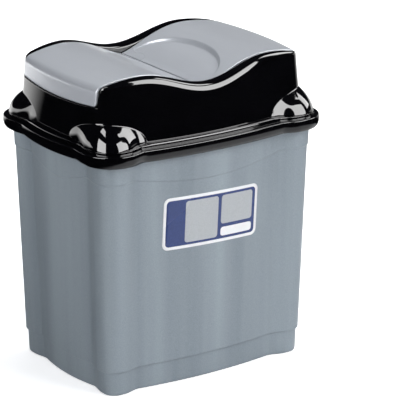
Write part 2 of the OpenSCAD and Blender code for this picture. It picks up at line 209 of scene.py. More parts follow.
def loft(rings: Array, closed: bool) -> Mesh:
    """Makes a closed mesh from rings of points.

    Args:
        rings: points in millimetres, as ring, station, axis; marks after the axes are left out.
        closed: whether the last ring joins the first; if not, both ends are capped.

    Returns:
        The mesh, with its faces pointing outwards.
    """
    m, n = rings.shape[:2]
    bm = bmesh.new()
    verts = [bm.verts.new(p) for p in (rings[..., :3].reshape(-1, 3) * MM).tolist()]
    for i in range(m if closed else m - 1):
        a, b = i * n, (i + 1) % m * n
        for k in range(n):
            j = (k + 1) % n
            bm.faces.new((verts[a + k], verts[b + k], verts[b + j], verts[a + j]))
    if not closed:
        bm.faces.new(verts[:n])
        bm.faces.new(verts[(m - 1) * n :])
    bmesh.ops.recalc_face_normals(bm, faces=bm.faces)
    return bm


def slab(upper: Array, lower: Array) -> Mesh:
    """Makes a closed mesh from two grids of points and a rim between them.

    Args:
        upper: points of one face in millimetres, as row, column, axis.
        lower: points of the other face.

    Returns:
        The mesh, with its faces pointing outwards.
    """
    m, n = upper.shape[:2]
    bm = bmesh.new()
    both = np.concatenate([upper.reshape(-1, 3), lower.reshape(-1, 3)]) * MM
    verts = [bm.verts.new(p) for p in both.tolist()]
    for i in range(m - 1):
        for j in range(n - 1):
            a = i * n + j
            bm.faces.new((verts[a], verts[a + n], verts[a + n + 1], verts[a + 1]))
            a += m * n
            bm.faces.new((verts[a], verts[a + 1], verts[a + n + 1], verts[a + n]))
    rim = list(range(n)) + [i * n + n - 1 for i in range(1, m)]
    rim += [(m - 1) * n + j for j in range(n - 2, -1, -1)] + [i * n for i in range(m - 2, 0, -1)]
    for a, b in zip(rim, rim[1:] + rim[:1]):
        bm.faces.new((verts[a], verts[b], verts[b + m * n], verts[a + m * n]))
    bmesh.ops.recalc_face_normals(bm, faces=bm.faces)
    return bm


def make_object(name: str, bm: Mesh, material: Material) -> Piece:
    """Turns a mesh into a named, smooth-shaded object with one material.

    Args:
        name: the piece's name.
        bm: the mesh, which is freed.
        material: its finish.

    Returns:
        The new object, linked to the scene.
    """
    mesh = bpy.data.meshes.new(name)
    bm.to_mesh(mesh)
    bm.free()
    mesh.materials.append(material)
    mesh.shade_smooth()
    obj = bpy.data.objects.new(name, mesh)
    bpy.context.scene.collection.objects.link(obj)
    return obj


def mark(piece: Piece, name: str, values: Array) -> None:
    """Stores one number a vertex on a piece, for its node tree."""
    layer = piece.data.attributes.new(name, "FLOAT", "POINT")
    layer.data.foreach_set("value", np.asarray(values, dtype=np.float32).ravel())


def bake(piece: Piece) -> None:
    """Applies a piece's modifiers, so that its mesh is plain and its marks are gone."""
    graph = bpy.context.evaluated_depsgraph_get()
    mesh = bpy.data.meshes.new_from_object(piece.evaluated_get(graph), depsgraph=graph)
    marks = [layer.name for layer in piece.data.attributes if layer.name.startswith("mark_")]
    old, piece.data = piece.data, mesh
    piece.modifiers.clear()
    bpy.data.meshes.remove(old)
    for name in marks:
        if name in mesh.attributes:
            mesh.attributes.remove(mesh.attributes[name])


# ---- node trees --------------------------------------------------------------------------------


class Bench:
    """A node tree, and short ways to add to it."""

    def __init__(self, tree: bpy.types.NodeTree) -> None:
        """Takes the tree to work on."""
        self.tree = tree

    def add(self, kind: str, **inputs: object) -> bpy.types.Node:
        """Adds a node and sets or links its inputs.

        Args:
            kind: the node's type.
            inputs: value or output socket for each input, with _ for a space.

        Returns:
            The node.
        """
        node = self.tree.nodes.new(kind)
        for key, value in inputs.items():
            self.put(node.inputs[key.replace("_", " ")], value)
        return node

    def put(self, socket: Socket, value: object) -> None:
        """Sets a socket to a value, or links it to an output."""
        if isinstance(value, Socket):
            self.tree.links.new(value, socket)
        else:
            socket.default_value = value

    def sum(self, how: str, first: Value, second: Value = 0.0) -> Socket:
        """Works out one step of arithmetic on two numbers.

        Args:
            how: the operation's name in Blender.
            first: the first number or its socket.
            second: the second one, which some operations leave out.

        Returns:
            The result's socket.
        """
        node = self.add("ShaderNodeMath")
        node.operation = how
        self.put(node.inputs[0], first)
        self.put(node.inputs[1], second)
        return node.outputs[0]


class ShapeBench(Bench):
    """A Geometry Nodes tree, and short ways to add to it."""

    def __init__(self, name: str) -> None:
        """Makes a tree that takes and gives geometry, and asks for a material."""
        super().__init__(bpy.data.node_groups.new(name, "GeometryNodeTree"))
        for way in ("INPUT", "OUTPUT"):
            self.tree.interface.new_socket("Geometry", in_out=way, socket_type="NodeSocketGeometry")
        self.start = self.tree.nodes.new("NodeGroupInput")
        self.finish = self.ask("Finish", "Material")

    def ask(self, name: str, kind: str = "Float") -> Socket:
        """Adds a named input to the tree and gives its socket."""
        self.tree.interface.new_socket(name, in_out="INPUT", socket_type=f"NodeSocket{kind}")
        return self.start.outputs[name]

    def marked(self, name: str) -> Socket:
        """Reads a number that mark stored on the vertices."""
        node = self.add("GeometryNodeInputNamedAttribute", Name=name)
        node.data_type = "FLOAT"
        return node.outputs[0]

    def rod(self, radius: Socket, length: Socket, sides: int = 40) -> Socket:
        """Makes a rod along Y."""
        rod = self.add("GeometryNodeMeshCylinder", Vertices=sides, Radius=radius, Depth=length)
        return self.add("GeometryNodeTransform", Geometry=rod.outputs[0],
                        Rotation=(math.pi / 2, 0, 0)).outputs[0]

    def places(self, columns: int, along: Value, across: Socket, middle: Socket) -> Socket:
        """Makes two rows of points, across apart in Y, with their columns along apart in X.

        Args:
            columns: points in a row.
            along: distance between the first and last column.
            across: distance between the rows.
            middle: the middle of all the points.

        Returns:
            The points.
        """
        grid = self.add("GeometryNodeMeshGrid", Size_X=along, Size_Y=across,
                        Vertices_X=columns, Vertices_Y=2)
        return self.moved(grid.outputs[0], Offset=middle)

    def moved(self, shape: Socket, **how: object) -> Socket:
        """Moves a shape's points to a Position, by an Offset, or both."""
        return self.add("GeometryNodeSetPosition", Geometry=shape, **how).outputs[0]

    def repeat(self, places: Socket, shape: Socket) -> Socket:
        """Puts a copy of a shape on every point."""
        return self.add("GeometryNodeInstanceOnPoints", Points=places, Instance=shape).outputs[0]

    def close(self, *parts: Socket) -> None:
        """Joins the parts into one real, smooth body in the piece's material and ends the tree."""
        joined = self.add("GeometryNodeJoinGeometry")
        for part in parts:
            self.tree.links.new(part, joined.inputs[0])
        soft = self.add("GeometryNodeSetShadeSmooth", Geometry=joined.outputs[0])
        real = self.add("GeometryNodeRealizeInstances", Geometry=soft.outputs[0])
        done = self.add("GeometryNodeSetMaterial", Geometry=real.outputs[0], Material=self.finish)
        self.put(self.tree.nodes.new("NodeGroupOutput").inputs[0], done.outputs[0])

    def shape(self, piece: Piece, **values: object) -> None:
        """Runs the tree on a piece, in its own material, and keeps the result as its plain mesh.

        Args:
            piece: the object.
            values: the tree's inputs, with _ for a space.
        """
        modifier = piece.modifiers.new(self.tree.name, "NODES")
        modifier.node_group = self.tree
        values["Finish"] = piece.data.materials[0]
        for item in self.tree.interface.items_tree:
            key = item.name.replace(" ", "_")
            if item.in_out == "INPUT" and key in values:
                modifier[item.identifier] = values[key]
        bake(piece)


# ---- finishes ----------------------------------------------------------------------------------


class NodeBench(Bench):
    """A material's node tree, and short ways to add to it."""

    def __init__(self, name: str) -> None:
        """Makes an empty material with a Principled shader and an output."""
        self.material = bpy.data.materials.new(name)
        self.material.use_nodes = True
        super().__init__(self.material.node_tree)
        self.shader = self.tree.nodes["Principled BSDF"]
        self.place = self.add("ShaderNodeTexCoord").outputs["Object"]

    def dress(self, **inputs: object) -> None:
        """Sets or links the shader's inputs, with _ for a space in their names."""
        for key, value in inputs.items():
            self.put(self.shader.inputs[key.replace("_", " ")], value)

    def noise(self, scale: float, detail: float = 2.0, rough: float = 0.5,
              stretch: Point = (1, 1, 1)) -> Socket:
        """Gives a noise over the object.

        Args:
            scale: waves a metre.
            detail: finer layers of noise.
            rough: strength of the finer layers.
            stretch: factor on the scale along each axis.

        Returns:
            The noise, from 0 to 1.
        """
        spread = self.add("ShaderNodeMapping", Vector=self.place, Scale=stretch)
        node = self.add("ShaderNodeTexNoise", Vector=spread.outputs[0], Scale=scale,
                        Detail=detail, Roughness=rough)
        return node.outputs["Fac"]

    def spread(self, value: Socket, low: float, high: float,
               source: Pair = (0.35, 0.65)) -> Socket:
        """Maps a value to another range and holds it there.

        Args:
            value: the value, such as a noise.
            low: result at the source range's start.
            high: result at its end.
            source: the value's range; most of a noise lies in the default one.

        Returns:
            The mapped value.
        """
        node = self.add("ShaderNodeMapRange", Value=value)
        for name, number in zip(("From Min", "From Max", "To Min", "To Max"), (*source, low, high)):
            node.inputs[name].default_value = number
        return node.outputs[0]

    def blend(self, share: Socket, first: Color, second: Color) -> Socket:
        """Mixes two colours by a share."""
        node = self.tree.nodes.new("ShaderNodeMix")
        node.data_type = "RGBA"
        self.put(node.inputs[0], share)
        self.put(node.inputs[6], (*first, 1.0))
        self.put(node.inputs[7], (*second, 1.0))
        return node.outputs[2]

    def bump(self, height: Socket, depth: float, under: Socket | None = None) -> Socket:
        """Makes a bump whose depth is in metres, on top of another or on the plain surface."""
        node = self.add("ShaderNodeBump", Height=height, Distance=depth, Strength=1.0)
        if under is not None:
            self.put(node.inputs["Normal"], under)
        return node.outputs[0]


@dataclass(frozen=True)
class SilverPlastic:
    """Moulded plastic with fine metallic pigment in it, and light and dark tone noise; stretched
    upright, as on the bucket, its streaks are painted reflection bands.
    """

    name: str
    light: Color
    dark: Color
    rough: Pair
    coat: float
    specular: float
    # stretch of the tone noise; upright on the bucket it draws streaks of painted reflection
    grain: Point
    swell: float
    fleck: float
    metallic: float = 0.1
    coat_rough: float = 0.16
    tone_and_sheen_waves: float = 26.0
    fleck_waves: float = 1300.0
    rough_waves: float = 9.0
    swell_waves: float = 30.0

    def material(self) -> Material:
        """Builds the material."""
        bench = NodeBench(self.name)
        # light and dark tone noise, random on the flaps; stretched upright on the bucket, its
        # streaks are painted reflection bands
        tone_and_sheen = bench.noise(self.tone_and_sheen_waves, 3.0, 0.55, self.grain)
        tone_and_sheen = bench.spread(tone_and_sheen, 0.0, 1 - self.fleck)
        fleck = bench.spread(bench.noise(self.fleck_waves, 1.0), 0.0, self.fleck)
        bench.dress(Base_Color=bench.blend(bench.sum("ADD", tone_and_sheen, fleck), self.dark, self.light),
                    Roughness=bench.spread(bench.noise(self.rough_waves), *self.rough),
                    Metallic=self.metallic, Coat_Weight=self.coat, Specular_IOR_Level=self.specular,
                    Coat_Roughness=self.coat_rough,
                    Normal=bench.bump(bench.noise(self.swell_waves, 1.0), self.swell))
        return bench.material


@dataclass(frozen=True)
class BlackGloss:
    """Polished near-black plastic with faint rub marks."""

    name: str = "cover_black"
    color: Color = (0.0011, 0.0011, 0.0016)
    worn: Color = (0.0019, 0.0019, 0.0025)
    rough: Pair = (0.03, 0.06)
    specular: float = 0.5
    haze_waves: float = 22.0
    rub_waves: float = 160.0
    rub_stretch: Point = (1.0, 1.0, 6.0)
    swell: Pair = (26.0, 0.00005)
    grain: Pair = (420.0, 0.0000015)

    def material(self) -> Material:
        """Builds the material."""
        bench = NodeBench(self.name)
        haze = bench.spread(bench.noise(self.haze_waves, 4.0, 0.6), 0.0, 1.0)
        rub = bench.noise(self.rub_waves, 5.0, 0.62, self.rub_stretch)
        skin = bench.bump(bench.noise(self.swell[0]), self.swell[1])
        bench.dress(Base_Color=bench.blend(haze, self.color, self.worn),
                    Roughness=bench.spread(rub, *self.rough), Specular_IOR_Level=self.specular,
                    Normal=bench.bump(bench.noise(self.grain[0]), self.grain[1], skin))
        return bench.material


@dataclass(frozen=True)
class PrintedFilm:
    """Glossy printed film of one colour, with a little grain."""

    name: str
    color: Color
    shade: Color
    rough: Pair = (0.24, 0.30)
    grain_waves: float = 900.0
    rough_waves: float = 12.0
    ripple: Pair = (120.0, 0.000008)

    def material(self) -> Material:
        """Builds the material."""
        bench = NodeBench(self.name)
        grain = bench.spread(bench.noise(self.grain_waves), 0.0, 1.0)
        bench.dress(Base_Color=bench.blend(grain, self.shade, self.color),
                    Roughness=bench.spread(bench.noise(self.rough_waves, 1.0), *self.rough),
                    Normal=bench.bump(bench.noise(self.ripple[0]), self.ripple[1]))
        return bench.material


# ---- bucket ------------------------------------------------------------------------------------


@dataclass(frozen=True)
class Outline:
    """Plan outline with four corner posts and inset, bowed panels."""

    half_length: Number
    half_width: Number
    corner: Number
    long_inset: float
    short_inset: float
    long_bow: float
    short_bow: float
    step_start: Number
    step_w: float = 15.3

    def grown(self, d: Number) -> Outline:
        """Gives the outline d outside this one."""
        return replace(self, half_length=self.half_length + d, half_width=self.half_width + d,
                       corner=self.corner + d, step_start=self.step_start + d)

    def boxed(self) -> Outline:
        """Gives the outline without its insets and bows."""
        return replace(self, long_inset=0.0, short_inset=0.0, long_bow=0.0, short_bow=0.0)

    def panels(self) -> Pair:
        """Gives half the length of the bowed panel on a long and on a short side."""
        edge = self.step_start + self.step_w
        return float(self.half_length - edge), float(self.half_width - edge)

    def _side(self, v: Array, far: Number, out: Number, inset: float,
              rise: float) -> Array:
        """Gives a side's distance from its middle plane.

        Args:
            v: places along the side, from its middle.
            far: half the outline's size along the side.
            out: half the outline's size across it.
            inset: how far the panel is set back.
            rise: how far the panel bows outwards.

        Returns:
            The distances.
        """
        panel = far - self.step_start - self.step_w
        return out - inset * (1 - smooth((v - panel) / self.step_w)) + rise * bow(v / panel)

    def long_side(self, x: Array) -> Array:
        """Gives the y of a long side at x."""
        return self._side(x, self.half_length, self.half_width, self.long_inset, self.long_bow)

    def short_side(self, y: Array) -> Array:
        """Gives the x of a short side at y."""
        return self._side(y, self.half_width, self.half_length, self.short_inset, self.short_bow)

    def at(self, st: Stations) -> Array:
        """Gives the plan point of every station."""
        x, y = self.half_length - self.corner, self.half_width - self.corner
        turn = 90 * st.share
        px = st.pick(x * st.share, x + self.corner * sind(turn), self.short_side(y * st.share))
        py = st.pick(self.long_side(x * st.share), y + self.corner * cosd(turn), y * st.share)
        return st.signed(px, py)


@dataclass
class Bucket:
    """The silver-grey bucket: one moulding."""

    foot_l: float = 189.6
    foot_w: float = 134.4
    height: float = 203.2
    draft: float = 1.5
    post_r: float = 12.2
    wall: float = 1.6
    floor_t: float = 2.2
    long_inset: float = 3.7
    short_inset: float = 2.4
    long_bow: float = 5.0
    short_bow: float = 3.9
    step_from: float = 15.9
    base_h: float = 20.0
    base_inset: float = 1.6
    base_slope: float = 0.6
    foot_r: float = 2.6
    recess_h: float = 1.5
    ring_w: float = 3.0
    band_h: float = 24.2
    band_dip: float = 8.1
    band_out: float = 0.8
    band_slope: float = 0.4
    rim_lip_h: float = 5.6
    rim_more: float = 0.6  # the rim's thickness over the wall's
    inner_step: Pair = (-1.0, 2.4)  # the base band's slope inside, from its top
    floor_edge: float = 12.0  # from the wall to the ring that holds the floor flat
    long_dip: float = 0.74
    short_dip: float = 0.52
    dip_power: float = 1.3
    st: Stations = field(default_factory=lambda: Stations.around(
        np.concatenate([np.linspace(0, 0.6, 18, False), np.linspace(0.6, 0.98, 36)]),
        np.linspace(0, 1, 21),
        np.concatenate([np.linspace(0.97, 0.5, 34, False), np.linspace(0.5, 0, 14)])))

    def outline(self, z: Number, d: Number = 0.0) -> Outline:
        """Gives the outline of the posts and panels at height z, d outside the wall."""
        t = np.asarray(z) * math.tan(math.radians(self.draft))
        return Outline(self.foot_l / 2 + t, self.foot_w / 2 + t, self.post_r, self.long_inset,
                       self.short_inset, self.long_bow, self.short_bow, self.step_from).grown(d)

    def ring(self, z: Number, d: float) -> Array:
        """Gives a ring of the unbowed wall at height z, d outside it, marked 0 for the wall."""
        return lift(lift(self.outline(z, d).boxed().at(self.st), z), 0.0)

    def band_ring(self, dz: float, d: float) -> Array:
        """Gives a ring along the upper band's lower line."""
        band_z = self.height - self.band_h
        o = self.outline(band_z)
        p = np.abs(o.boxed().at(self.st))
        v = self.st.pick(p[:, 0] / (o.half_length * self.long_dip), np.ones(len(p)),
                         p[:, 1] / (o.half_width * self.short_dip))
        return self.ring(band_z - self.band_dip * bow(v) ** self.dip_power + dz, d)

    @staticmethod
    def tree() -> ShapeBench:
        """Makes the tree that sets the panels back between the posts and bows them outwards."""
        bench = ShapeBench("bowed_panels")
        draft, step = bench.ask("Draft"), bench.ask("Step Width")
        rim, part = bench.marked("mark_rim"), bench.marked("mark_part")
        place = bench.add("GeometryNodeInputPosition").outputs[0]
        x, y, z = bench.add("ShaderNodeSeparateXYZ", Vector=place).outputs

        def between(wall: Socket, other: Socket) -> Socket:
            """Goes from the wall's value to the rim's."""
            return bench.add("ShaderNodeMix", Factor=rim, A=wall, B=other).outputs[0]

        def push(along: Socket, out: Socket, side: str, inset: Socket, which: float) -> Socket:
            """Works out how far a side's points move outwards.

            Args:
                along: coordinate along the side.
                out: coordinate across it.
                side: Long or Short, as in the inputs' names.
                inset: how far the panel is set back.
                which: the side's part number in the stations.

            Returns:
                The signed move.
            """
            grown = bench.sum("ADD", bench.ask(f"{side} Panel"), bench.sum("MULTIPLY", z, draft))
            panel = between(grown, bench.ask(f"Rim {side} Panel"))
            far = bench.sum("ABSOLUTE", along)
            back = bench.add("ShaderNodeMapRange", Value=far, From_Min=panel, To_Max=0.0,
                             From_Max=bench.sum("ADD", panel, step),
                             To_Min=bench.sum("MULTIPLY", inset, -1.0))
            back.interpolation_type = "SMOOTHSTEP"
            square = bench.sum("POWER", bench.sum("DIVIDE", far, panel), 2.0)
            arch = bench.sum("MAXIMUM", bench.sum("SUBTRACT", 1.0, square), 0.0)
            bowed = bench.sum("MULTIPLY", arch, bench.ask(f"{side} Bow"))
            size = bench.sum("ADD", back.outputs[0], bowed)
            move = bench.sum("MULTIPLY", size, bench.sum("SIGN", out))
            here = bench.sum("COMPARE", part, which)
            here.node.inputs[2].default_value = 0.1  # how near the two part numbers have to be
            return bench.sum("MULTIPLY", move, here)

        short_inset = between(bench.ask("Short Inset"), bench.ask("Rim Short Inset"))
        moved = bench.add("ShaderNodeCombineXYZ", X=push(y, x, "Short", short_inset, 2.0),
                          Y=push(x, y, "Long", bench.ask("Long Inset"), 0.0))
        bench.close(bench.moved(bench.start.outputs[0], Offset=moved.outputs[0]))
        return bench

    def build(self, cover: Cover, finish: SilverPlastic) -> Piece:
        """Builds the bucket.

        Args:
            cover: the cover, whose skirt the rim follows.
            finish: the bucket's finish.

        Returns:
            The piece.
        """
        h, w, skirt = self.height, self.wall, cover.skirt()
        foot_in, base_in = self.base_inset + self.foot_r, w + self.base_inset
        rim_t, rim_in = w + self.rim_more, cover.wall + cover.rim_play
        lip_z, floor_z = h - self.rim_lip_h, self.recess_h + self.floor_t

        def rim(z: float, d: float) -> Array:
            """Gives an unbowed ring d inside the cover's skirt, marked 1 for the rim."""
            return lift(lift(skirt.grown(-d).boxed().at(self.st), z), 1.0)

        rows = [  # each ring, and how far from it its rounding starts
            (self.ring(self.recess_h, -foot_in - self.ring_w - self.recess_h), 0.8),
            (self.ring(0, -foot_in - self.ring_w), 0.7),
            (self.ring(0, -self.base_inset), self.foot_r * 1.1),
            (self.ring(self.base_h, -self.base_inset), 0.35),
            (self.ring(self.base_h + self.base_slope, 0), 0.5),
            (self.band_ring(-self.band_slope, 0), 0.5),
            (self.band_ring(self.band_slope, self.band_out), 0.6),
            (self.ring(h - rim_t, self.band_out), 0.8),
            (rim(h - rim_t, rim_in + w), 0.5),
            (rim(lip_z, rim_in + w), 0.4),
            (rim(lip_z, rim_in), 0.4),
            (rim(h, rim_in), 1.3),
            (self.ring(h, -w), 1.1),
            (self.ring(self.base_h + self.inner_step[1], -w), 2.0),
            (self.ring(self.base_h + self.inner_step[0], -base_in), 2.0),
            (self.ring(floor_z, -base_in), 5.0),
            (self.ring(floor_z, -base_in - self.floor_edge), 1.0),
        ]
        rings = rounded(rows, False)
        piece = make_object("bucket_shell", loft(rings, False), finish.material())
        mark(piece, "mark_rim", rings[..., 3])
        mark(piece, "mark_part", np.tile(self.st.part, len(rings)))
        long_panel, short_panel = self.outline(0.0).panels()
        rim_long, rim_short = skirt.panels()
        self.tree().shape(
            piece, Draft=math.tan(math.radians(self.draft)), Step_Width=skirt.step_w * MM,
            Long_Bow=self.long_bow * MM, Short_Bow=self.short_bow * MM,
            Long_Inset=self.long_inset * MM, Short_Inset=self.short_inset * MM,
            Rim_Short_Inset=skirt.short_inset * MM, Long_Panel=long_panel * MM,
            Short_Panel=short_panel * MM, Rim_Long_Panel=rim_long * MM,
            Rim_Short_Panel=rim_short * MM)
        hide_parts("bucket")
        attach(piece, "bucket")
        return piece


# ---- cover -------------------------------------------------------------------------------------


@dataclass
class Cover:
    """The glossy black cover: one moulding, with the opening for the flaps."""

    bucket: Bucket
    wall: float = 1.8
    skirt_out: float = 7.7
    skirt_h: float = 10.2
    skirt_bulge: float = 2.3
    skirt_curve: tuple[Pair, ...] = (
        (0.6, 0.17), (0.95, 0.4), (1.0, 0.62), (0.96, 0.84))
    skirt_corner: float = 10.4  # these three are the skirt's outline less the bucket's
    skirt_step: float = 11.0
    skirt_inset: float = 1.1
    step_out: float = 2.0
    step_in: float = 2.3
    rim_step_h: float = 3.7
    rim_r: float = 1.5
    rim_crease: float = 0.9  # the share of rim_r that a corner bulge takes away
    rim_play: float = 0.8
    seat_gap: float = 0.3
    dome_h: float = 51.0
    dome_draft: float = 5.0
    dome_l: float = 199.2
    dome_w: float = 129.4
    dome_r: float = 17.0
    long_turn: float = 14.0
    short_turn: float = 9.5
    valley_d: float = 12.0
    crest_x: float = 60.0
    ledge_h: float = 28.2
    ledge_w: float = 4.6
    ledge_dip: float = 1.9
    brow_w: float = 13.1
    brow_taper: float = 4.2
    shoulder_w: float = 7.0
    shoulder_h: float = 8.0
    shoulder_power: float = 0.75
    apron_d: float = 14.0
    bulge_h: float = 17.0
    bulge_reach: float = 38.5
    flank_in: float = 4.4
    corner_in: float = 2.5
    corner_lean: float = 0.25
    flank_low: float = 1.0
    foot_drop: float = 1.6
    flank_power: float = 2.0
    crest_fall: float = 0.0042
    mouth_r: float = 1.5
    mouth_past: float = 6.0  # from the dome's corner centre to the opening's corner
    cheek_w: float = 0.22
    cheek_power: float = 0.6
    cheek_crowding: float = 0.7  # draws the cheek's stations towards its foot
    brow_share: float = 0.55
    ridge_r: float = 3.4
    ledge_r: float = 0.8
    ledge_ridge: float = 1.2
    ledge_shoulder: float = 1.0
    ledge_lip: float = 3.0
    lip_least: float = 0.2
    inner_drop: tuple[float, ...] = (1.4, 0.3, 0.8)  # the inside's heights under the brow
    inner_foot: Pair = (3.1, 2.5)  # the flank's foot inside, on a side and at a bulge
    inner_skirt: float = 0.3
    inner_bulge: float = 0.6
    axle_x: float = 50.0
    axle_l: float = 4.6
    bore_d: float = 5.2
    bore_more: float = 4.0  # how much longer than the axles the cutters are
    boss_wall: float = 2.2
    boss_in: float = 0.9  # from the opening's edge to a boss
    boss_less: float = 0.4
    ledge_z: float = field(init=False)
    skirt_z: float = field(init=False)
    rim_z: float = field(init=False)
    crest_z: float = field(init=False)
    valley_z: float = field(init=False)
    notch_z: float = field(init=False)
    dome_x: float = field(init=False)
    dome_y: float = field(init=False)
    notch_r: float = field(init=False)
    mouth_long: float = field(init=False)
    mouth_y: float = field(init=False)
    mouth_x: float = field(init=False)
    cheek_foot: float = field(init=False)
    cheek_top: float = field(init=False)
    cheek_x: float = field(init=False)
    st: Stations = field(init=False)

    def __post_init__(self) -> None:
        """Works out the heights, the opening's corner and the stations."""
        self.ledge_z = self.bucket.height + self.seat_gap + self.wall
        self.skirt_z = self.ledge_z - self.skirt_h
        self.rim_z = self.ledge_z + self.rim_step_h
        self.crest_z = self.rim_z + self.dome_h
        self.valley_z = self.crest_z - self.valley_d
        self.notch_z = self.rim_z + self.ledge_h
        self.dome_x = self.dome_l / 2 - self.dome_r
        self.dome_y = self.dome_w / 2 - self.dome_r
        self.notch_r = float(self.arc(self.notch_z))
        self.mouth_long = float(self.dome_long(0.0, self.notch_r)) - self.brow_w
        self.mouth_y = float(self.mouth_half(self.dome_x + self.mouth_past))
        self.mouth_x = float(self.mouth_end(self.mouth_y))
        turn = math.degrees(math.acos((self.mouth_y - self.dome_y) / self.notch_r))
        self.cheek_foot = (turn - self.long_turn) / (90 - self.long_turn - self.short_turn)
        self.cheek_top = self.cheek_foot - self.cheek_w
        cheek_turn = mix(self.long_turn, 90 - self.short_turn, self.cheek_top)
        self.cheek_x = float(self.dome_x + self.notch_r * sind(cheek_turn))
        cheek = np.linspace(0, 1, 22) ** self.cheek_crowding
        self.st = Stations.around(
            np.concatenate([np.linspace(0, 0.66, 34, False), np.linspace(0.66, 0.985, 24)]),
            np.concatenate([np.linspace(0, self.cheek_top, 14, False),
                            mix(self.cheek_top, self.cheek_foot, cheek),
                            np.linspace(self.cheek_foot, 1, 9)[1:]]),
            np.linspace(0.97, 0, 34))

    def skirt(self) -> Outline:
        """Gives the outline of the skirt's lower edge."""
        o = self.bucket.outline(self.skirt_z, self.skirt_out)
        return replace(o, corner=self.bucket.post_r + self.skirt_corner,
                       short_inset=o.short_inset - self.skirt_inset,
                       step_start=self.bucket.step_from + self.skirt_step)

    def arc(self, z: Number, d: float = 0.0) -> Array:
        """Gives the radius of the dome's corners at height z, d outside it."""
        up = np.asarray(z) - self.rim_z
        return self.dome_r + d - up * math.tan(math.radians(self.dome_draft))

    @staticmethod
    def _side(v: Array, along: float, across: float, r: Array, turn: float) -> Array:
        """Gives a bowed side of the dome.

        Args:
            v: places along the side, from its middle.
            along: where the corner's centre lies along the side.
            across: where it lies across the side.
            r: the corner's radius.
            turn: how far the side has turned at its end, in degrees.

        Returns:
            The side's distances from its middle plane.
        """
        end, slope = along + r * sind(turn), math.tan(math.radians(turn))
        return across + r * cosd(turn) + slope * (end - np.square(v) / end) / 2

    def dome_long(self, x: Number, r: Number) -> Array:
        """Gives the y of a long side of the dome."""
        return self._side(x, self.dome_x, self.dome_y, r, self.long_turn)

    def dome_short(self, y: Number, r: Number) -> Array:
        """Gives the x of a short side of the dome."""
        return self._side(y, self.dome_y, self.dome_x, r, self.short_turn)

    def dome(self, r: Number) -> Array:
        """Gives the dome's outer face at every station, where its corners have radius r."""
        st = self.st
        q = mix(self.long_turn, 90 - self.short_turn, st.share)
        x = (self.dome_x + r * sind(self.long_turn)) * st.share
        y = (self.dome_y + r * sind(self.short_turn)) * st.share
        return st.signed(st.pick(x, self.dome_x + r * sind(q), self.dome_short(y, r)),
                         st.pick(self.dome_long(x, r), self.dome_y + r * cosd(q), y))

    def end_x(self, y: Number) -> Array:
        """Gives the x of an end wall's outer face at the ledge's height, round into the corner."""
        y = np.asarray(y, float)
        flat = self.dome_short(y, self.notch_r)
        inside = np.maximum(self.notch_r**2 - np.square(y - self.dome_y), 0)
        return np.where(y < self.dome_y + self.notch_r * sind(self.short_turn), flat,
                        self.dome_x + np.sqrt(inside))

    def mouth_half(self, x: Number) -> Array:
        """Gives half the opening's width at x."""
        return self.mouth_long - self.brow_taper * np.square(np.asarray(x) / self.dome_x)

    def mouth_end(self, y: Number) -> Array:
        """Gives the opening's end edge at y."""
        return self.end_x(y) - self.ledge_w

    def ridge_z(self, x: Array) -> Array:
        """Gives the height of the wave-shaped ridge at x."""
        return np.where(x < self.crest_x, mix(self.valley_z, self.crest_z, wave(x / self.crest_x)),
                        self.crest_z - self.crest_fall * np.square(x - self.crest_x))

    def cheek_turn(self) -> Array:
        """Gives 1 along the long sides and 0 along the ends, with a ramp at the cheeks."""
        st = self.st
        return st.pick(np.ones(len(st.part)), clamp((self.cheek_foot - st.share) / self.cheek_w),
                       np.zeros(len(st.part)))

    def mouth(self, p: Array) -> Array:
        """Gives the opening's edge at every station, whose outer face is at p."""
        corner = np.array([self.mouth_x - self.mouth_r, self.mouth_y - self.mouth_r])
        turn = self.cheek_turn()
        x = np.abs(p[:, 0]) * corner[0] / self.cheek_x
        y = np.abs(p[:, 1]) * corner[1] / self.mouth_y
        bend = corner[:, None] + self.mouth_r * np.stack([cosd(90 * turn), sind(90 * turn)])
        px = np.where(turn == 1, x, np.where(turn == 0, self.mouth_end(y), bend[0]))
        py = np.where(turn == 1, self.mouth_half(x), np.where(turn == 0, y, bend[1]))
        return self.st.signed(px, py)

    def bulge(self) -> Array:
        """Gives the share of a corner bulge at every station."""
        st, half_arc = self.st, math.pi * self.dome_r / 4
        run = st.pick(half_arc + self.dome_x * (1 - st.share), half_arc * np.abs(2 * st.share - 1),
                      half_arc + self.dome_y * (1 - st.share))
        return np.sqrt(bow(run / self.bulge_reach))

    def flank(self, q: float, d: float, dz: float) -> Array:
        """Gives a ring of the flank between the rim and the dome.

        Args:
            q: the ring's place up the flank, from 0 to 1.
            d: how far outside the dome's outer face.
            dz: how far above the ring's own height.

        Returns:
            The ring.
        """
        b = self.bulge()
        foot = self.skirt().grown(-mix(self.flank_in, self.corner_in, b))
        reach = foot.at(self.st) - self.dome(self.dome_r)
        down = self.foot_drop * b
        z = self.rim_z - down + (mix(self.flank_low, self.bulge_h, b) + down) * q
        share = b * (1 - q**self.flank_power)
        return lift(self.dome(self.arc(z, d)) + reach * share[:, None], z + dz)

    def rings(self) -> Array:
        """Gives the rings of the whole skin, from the skirt up, over the ridge and back inside."""
        t, st, b, skirt = self.wall, self.st, self.bulge(), self.skirt()
        # c is 1 along the long sides and 0 on the end ledges; zt is the top's height
        c = np.sin(np.pi / 2 * self.cheek_turn()) ** self.cheek_power
        p = self.dome(self.notch_r)
        mouth = self.mouth(p)
        ledge = self.notch_z + self.ledge_dip * np.minimum(1, np.square(p[:, 1] / self.mouth_y))
        zt = mix(ledge, self.ridge_z(np.abs(p[:, 0])), c)
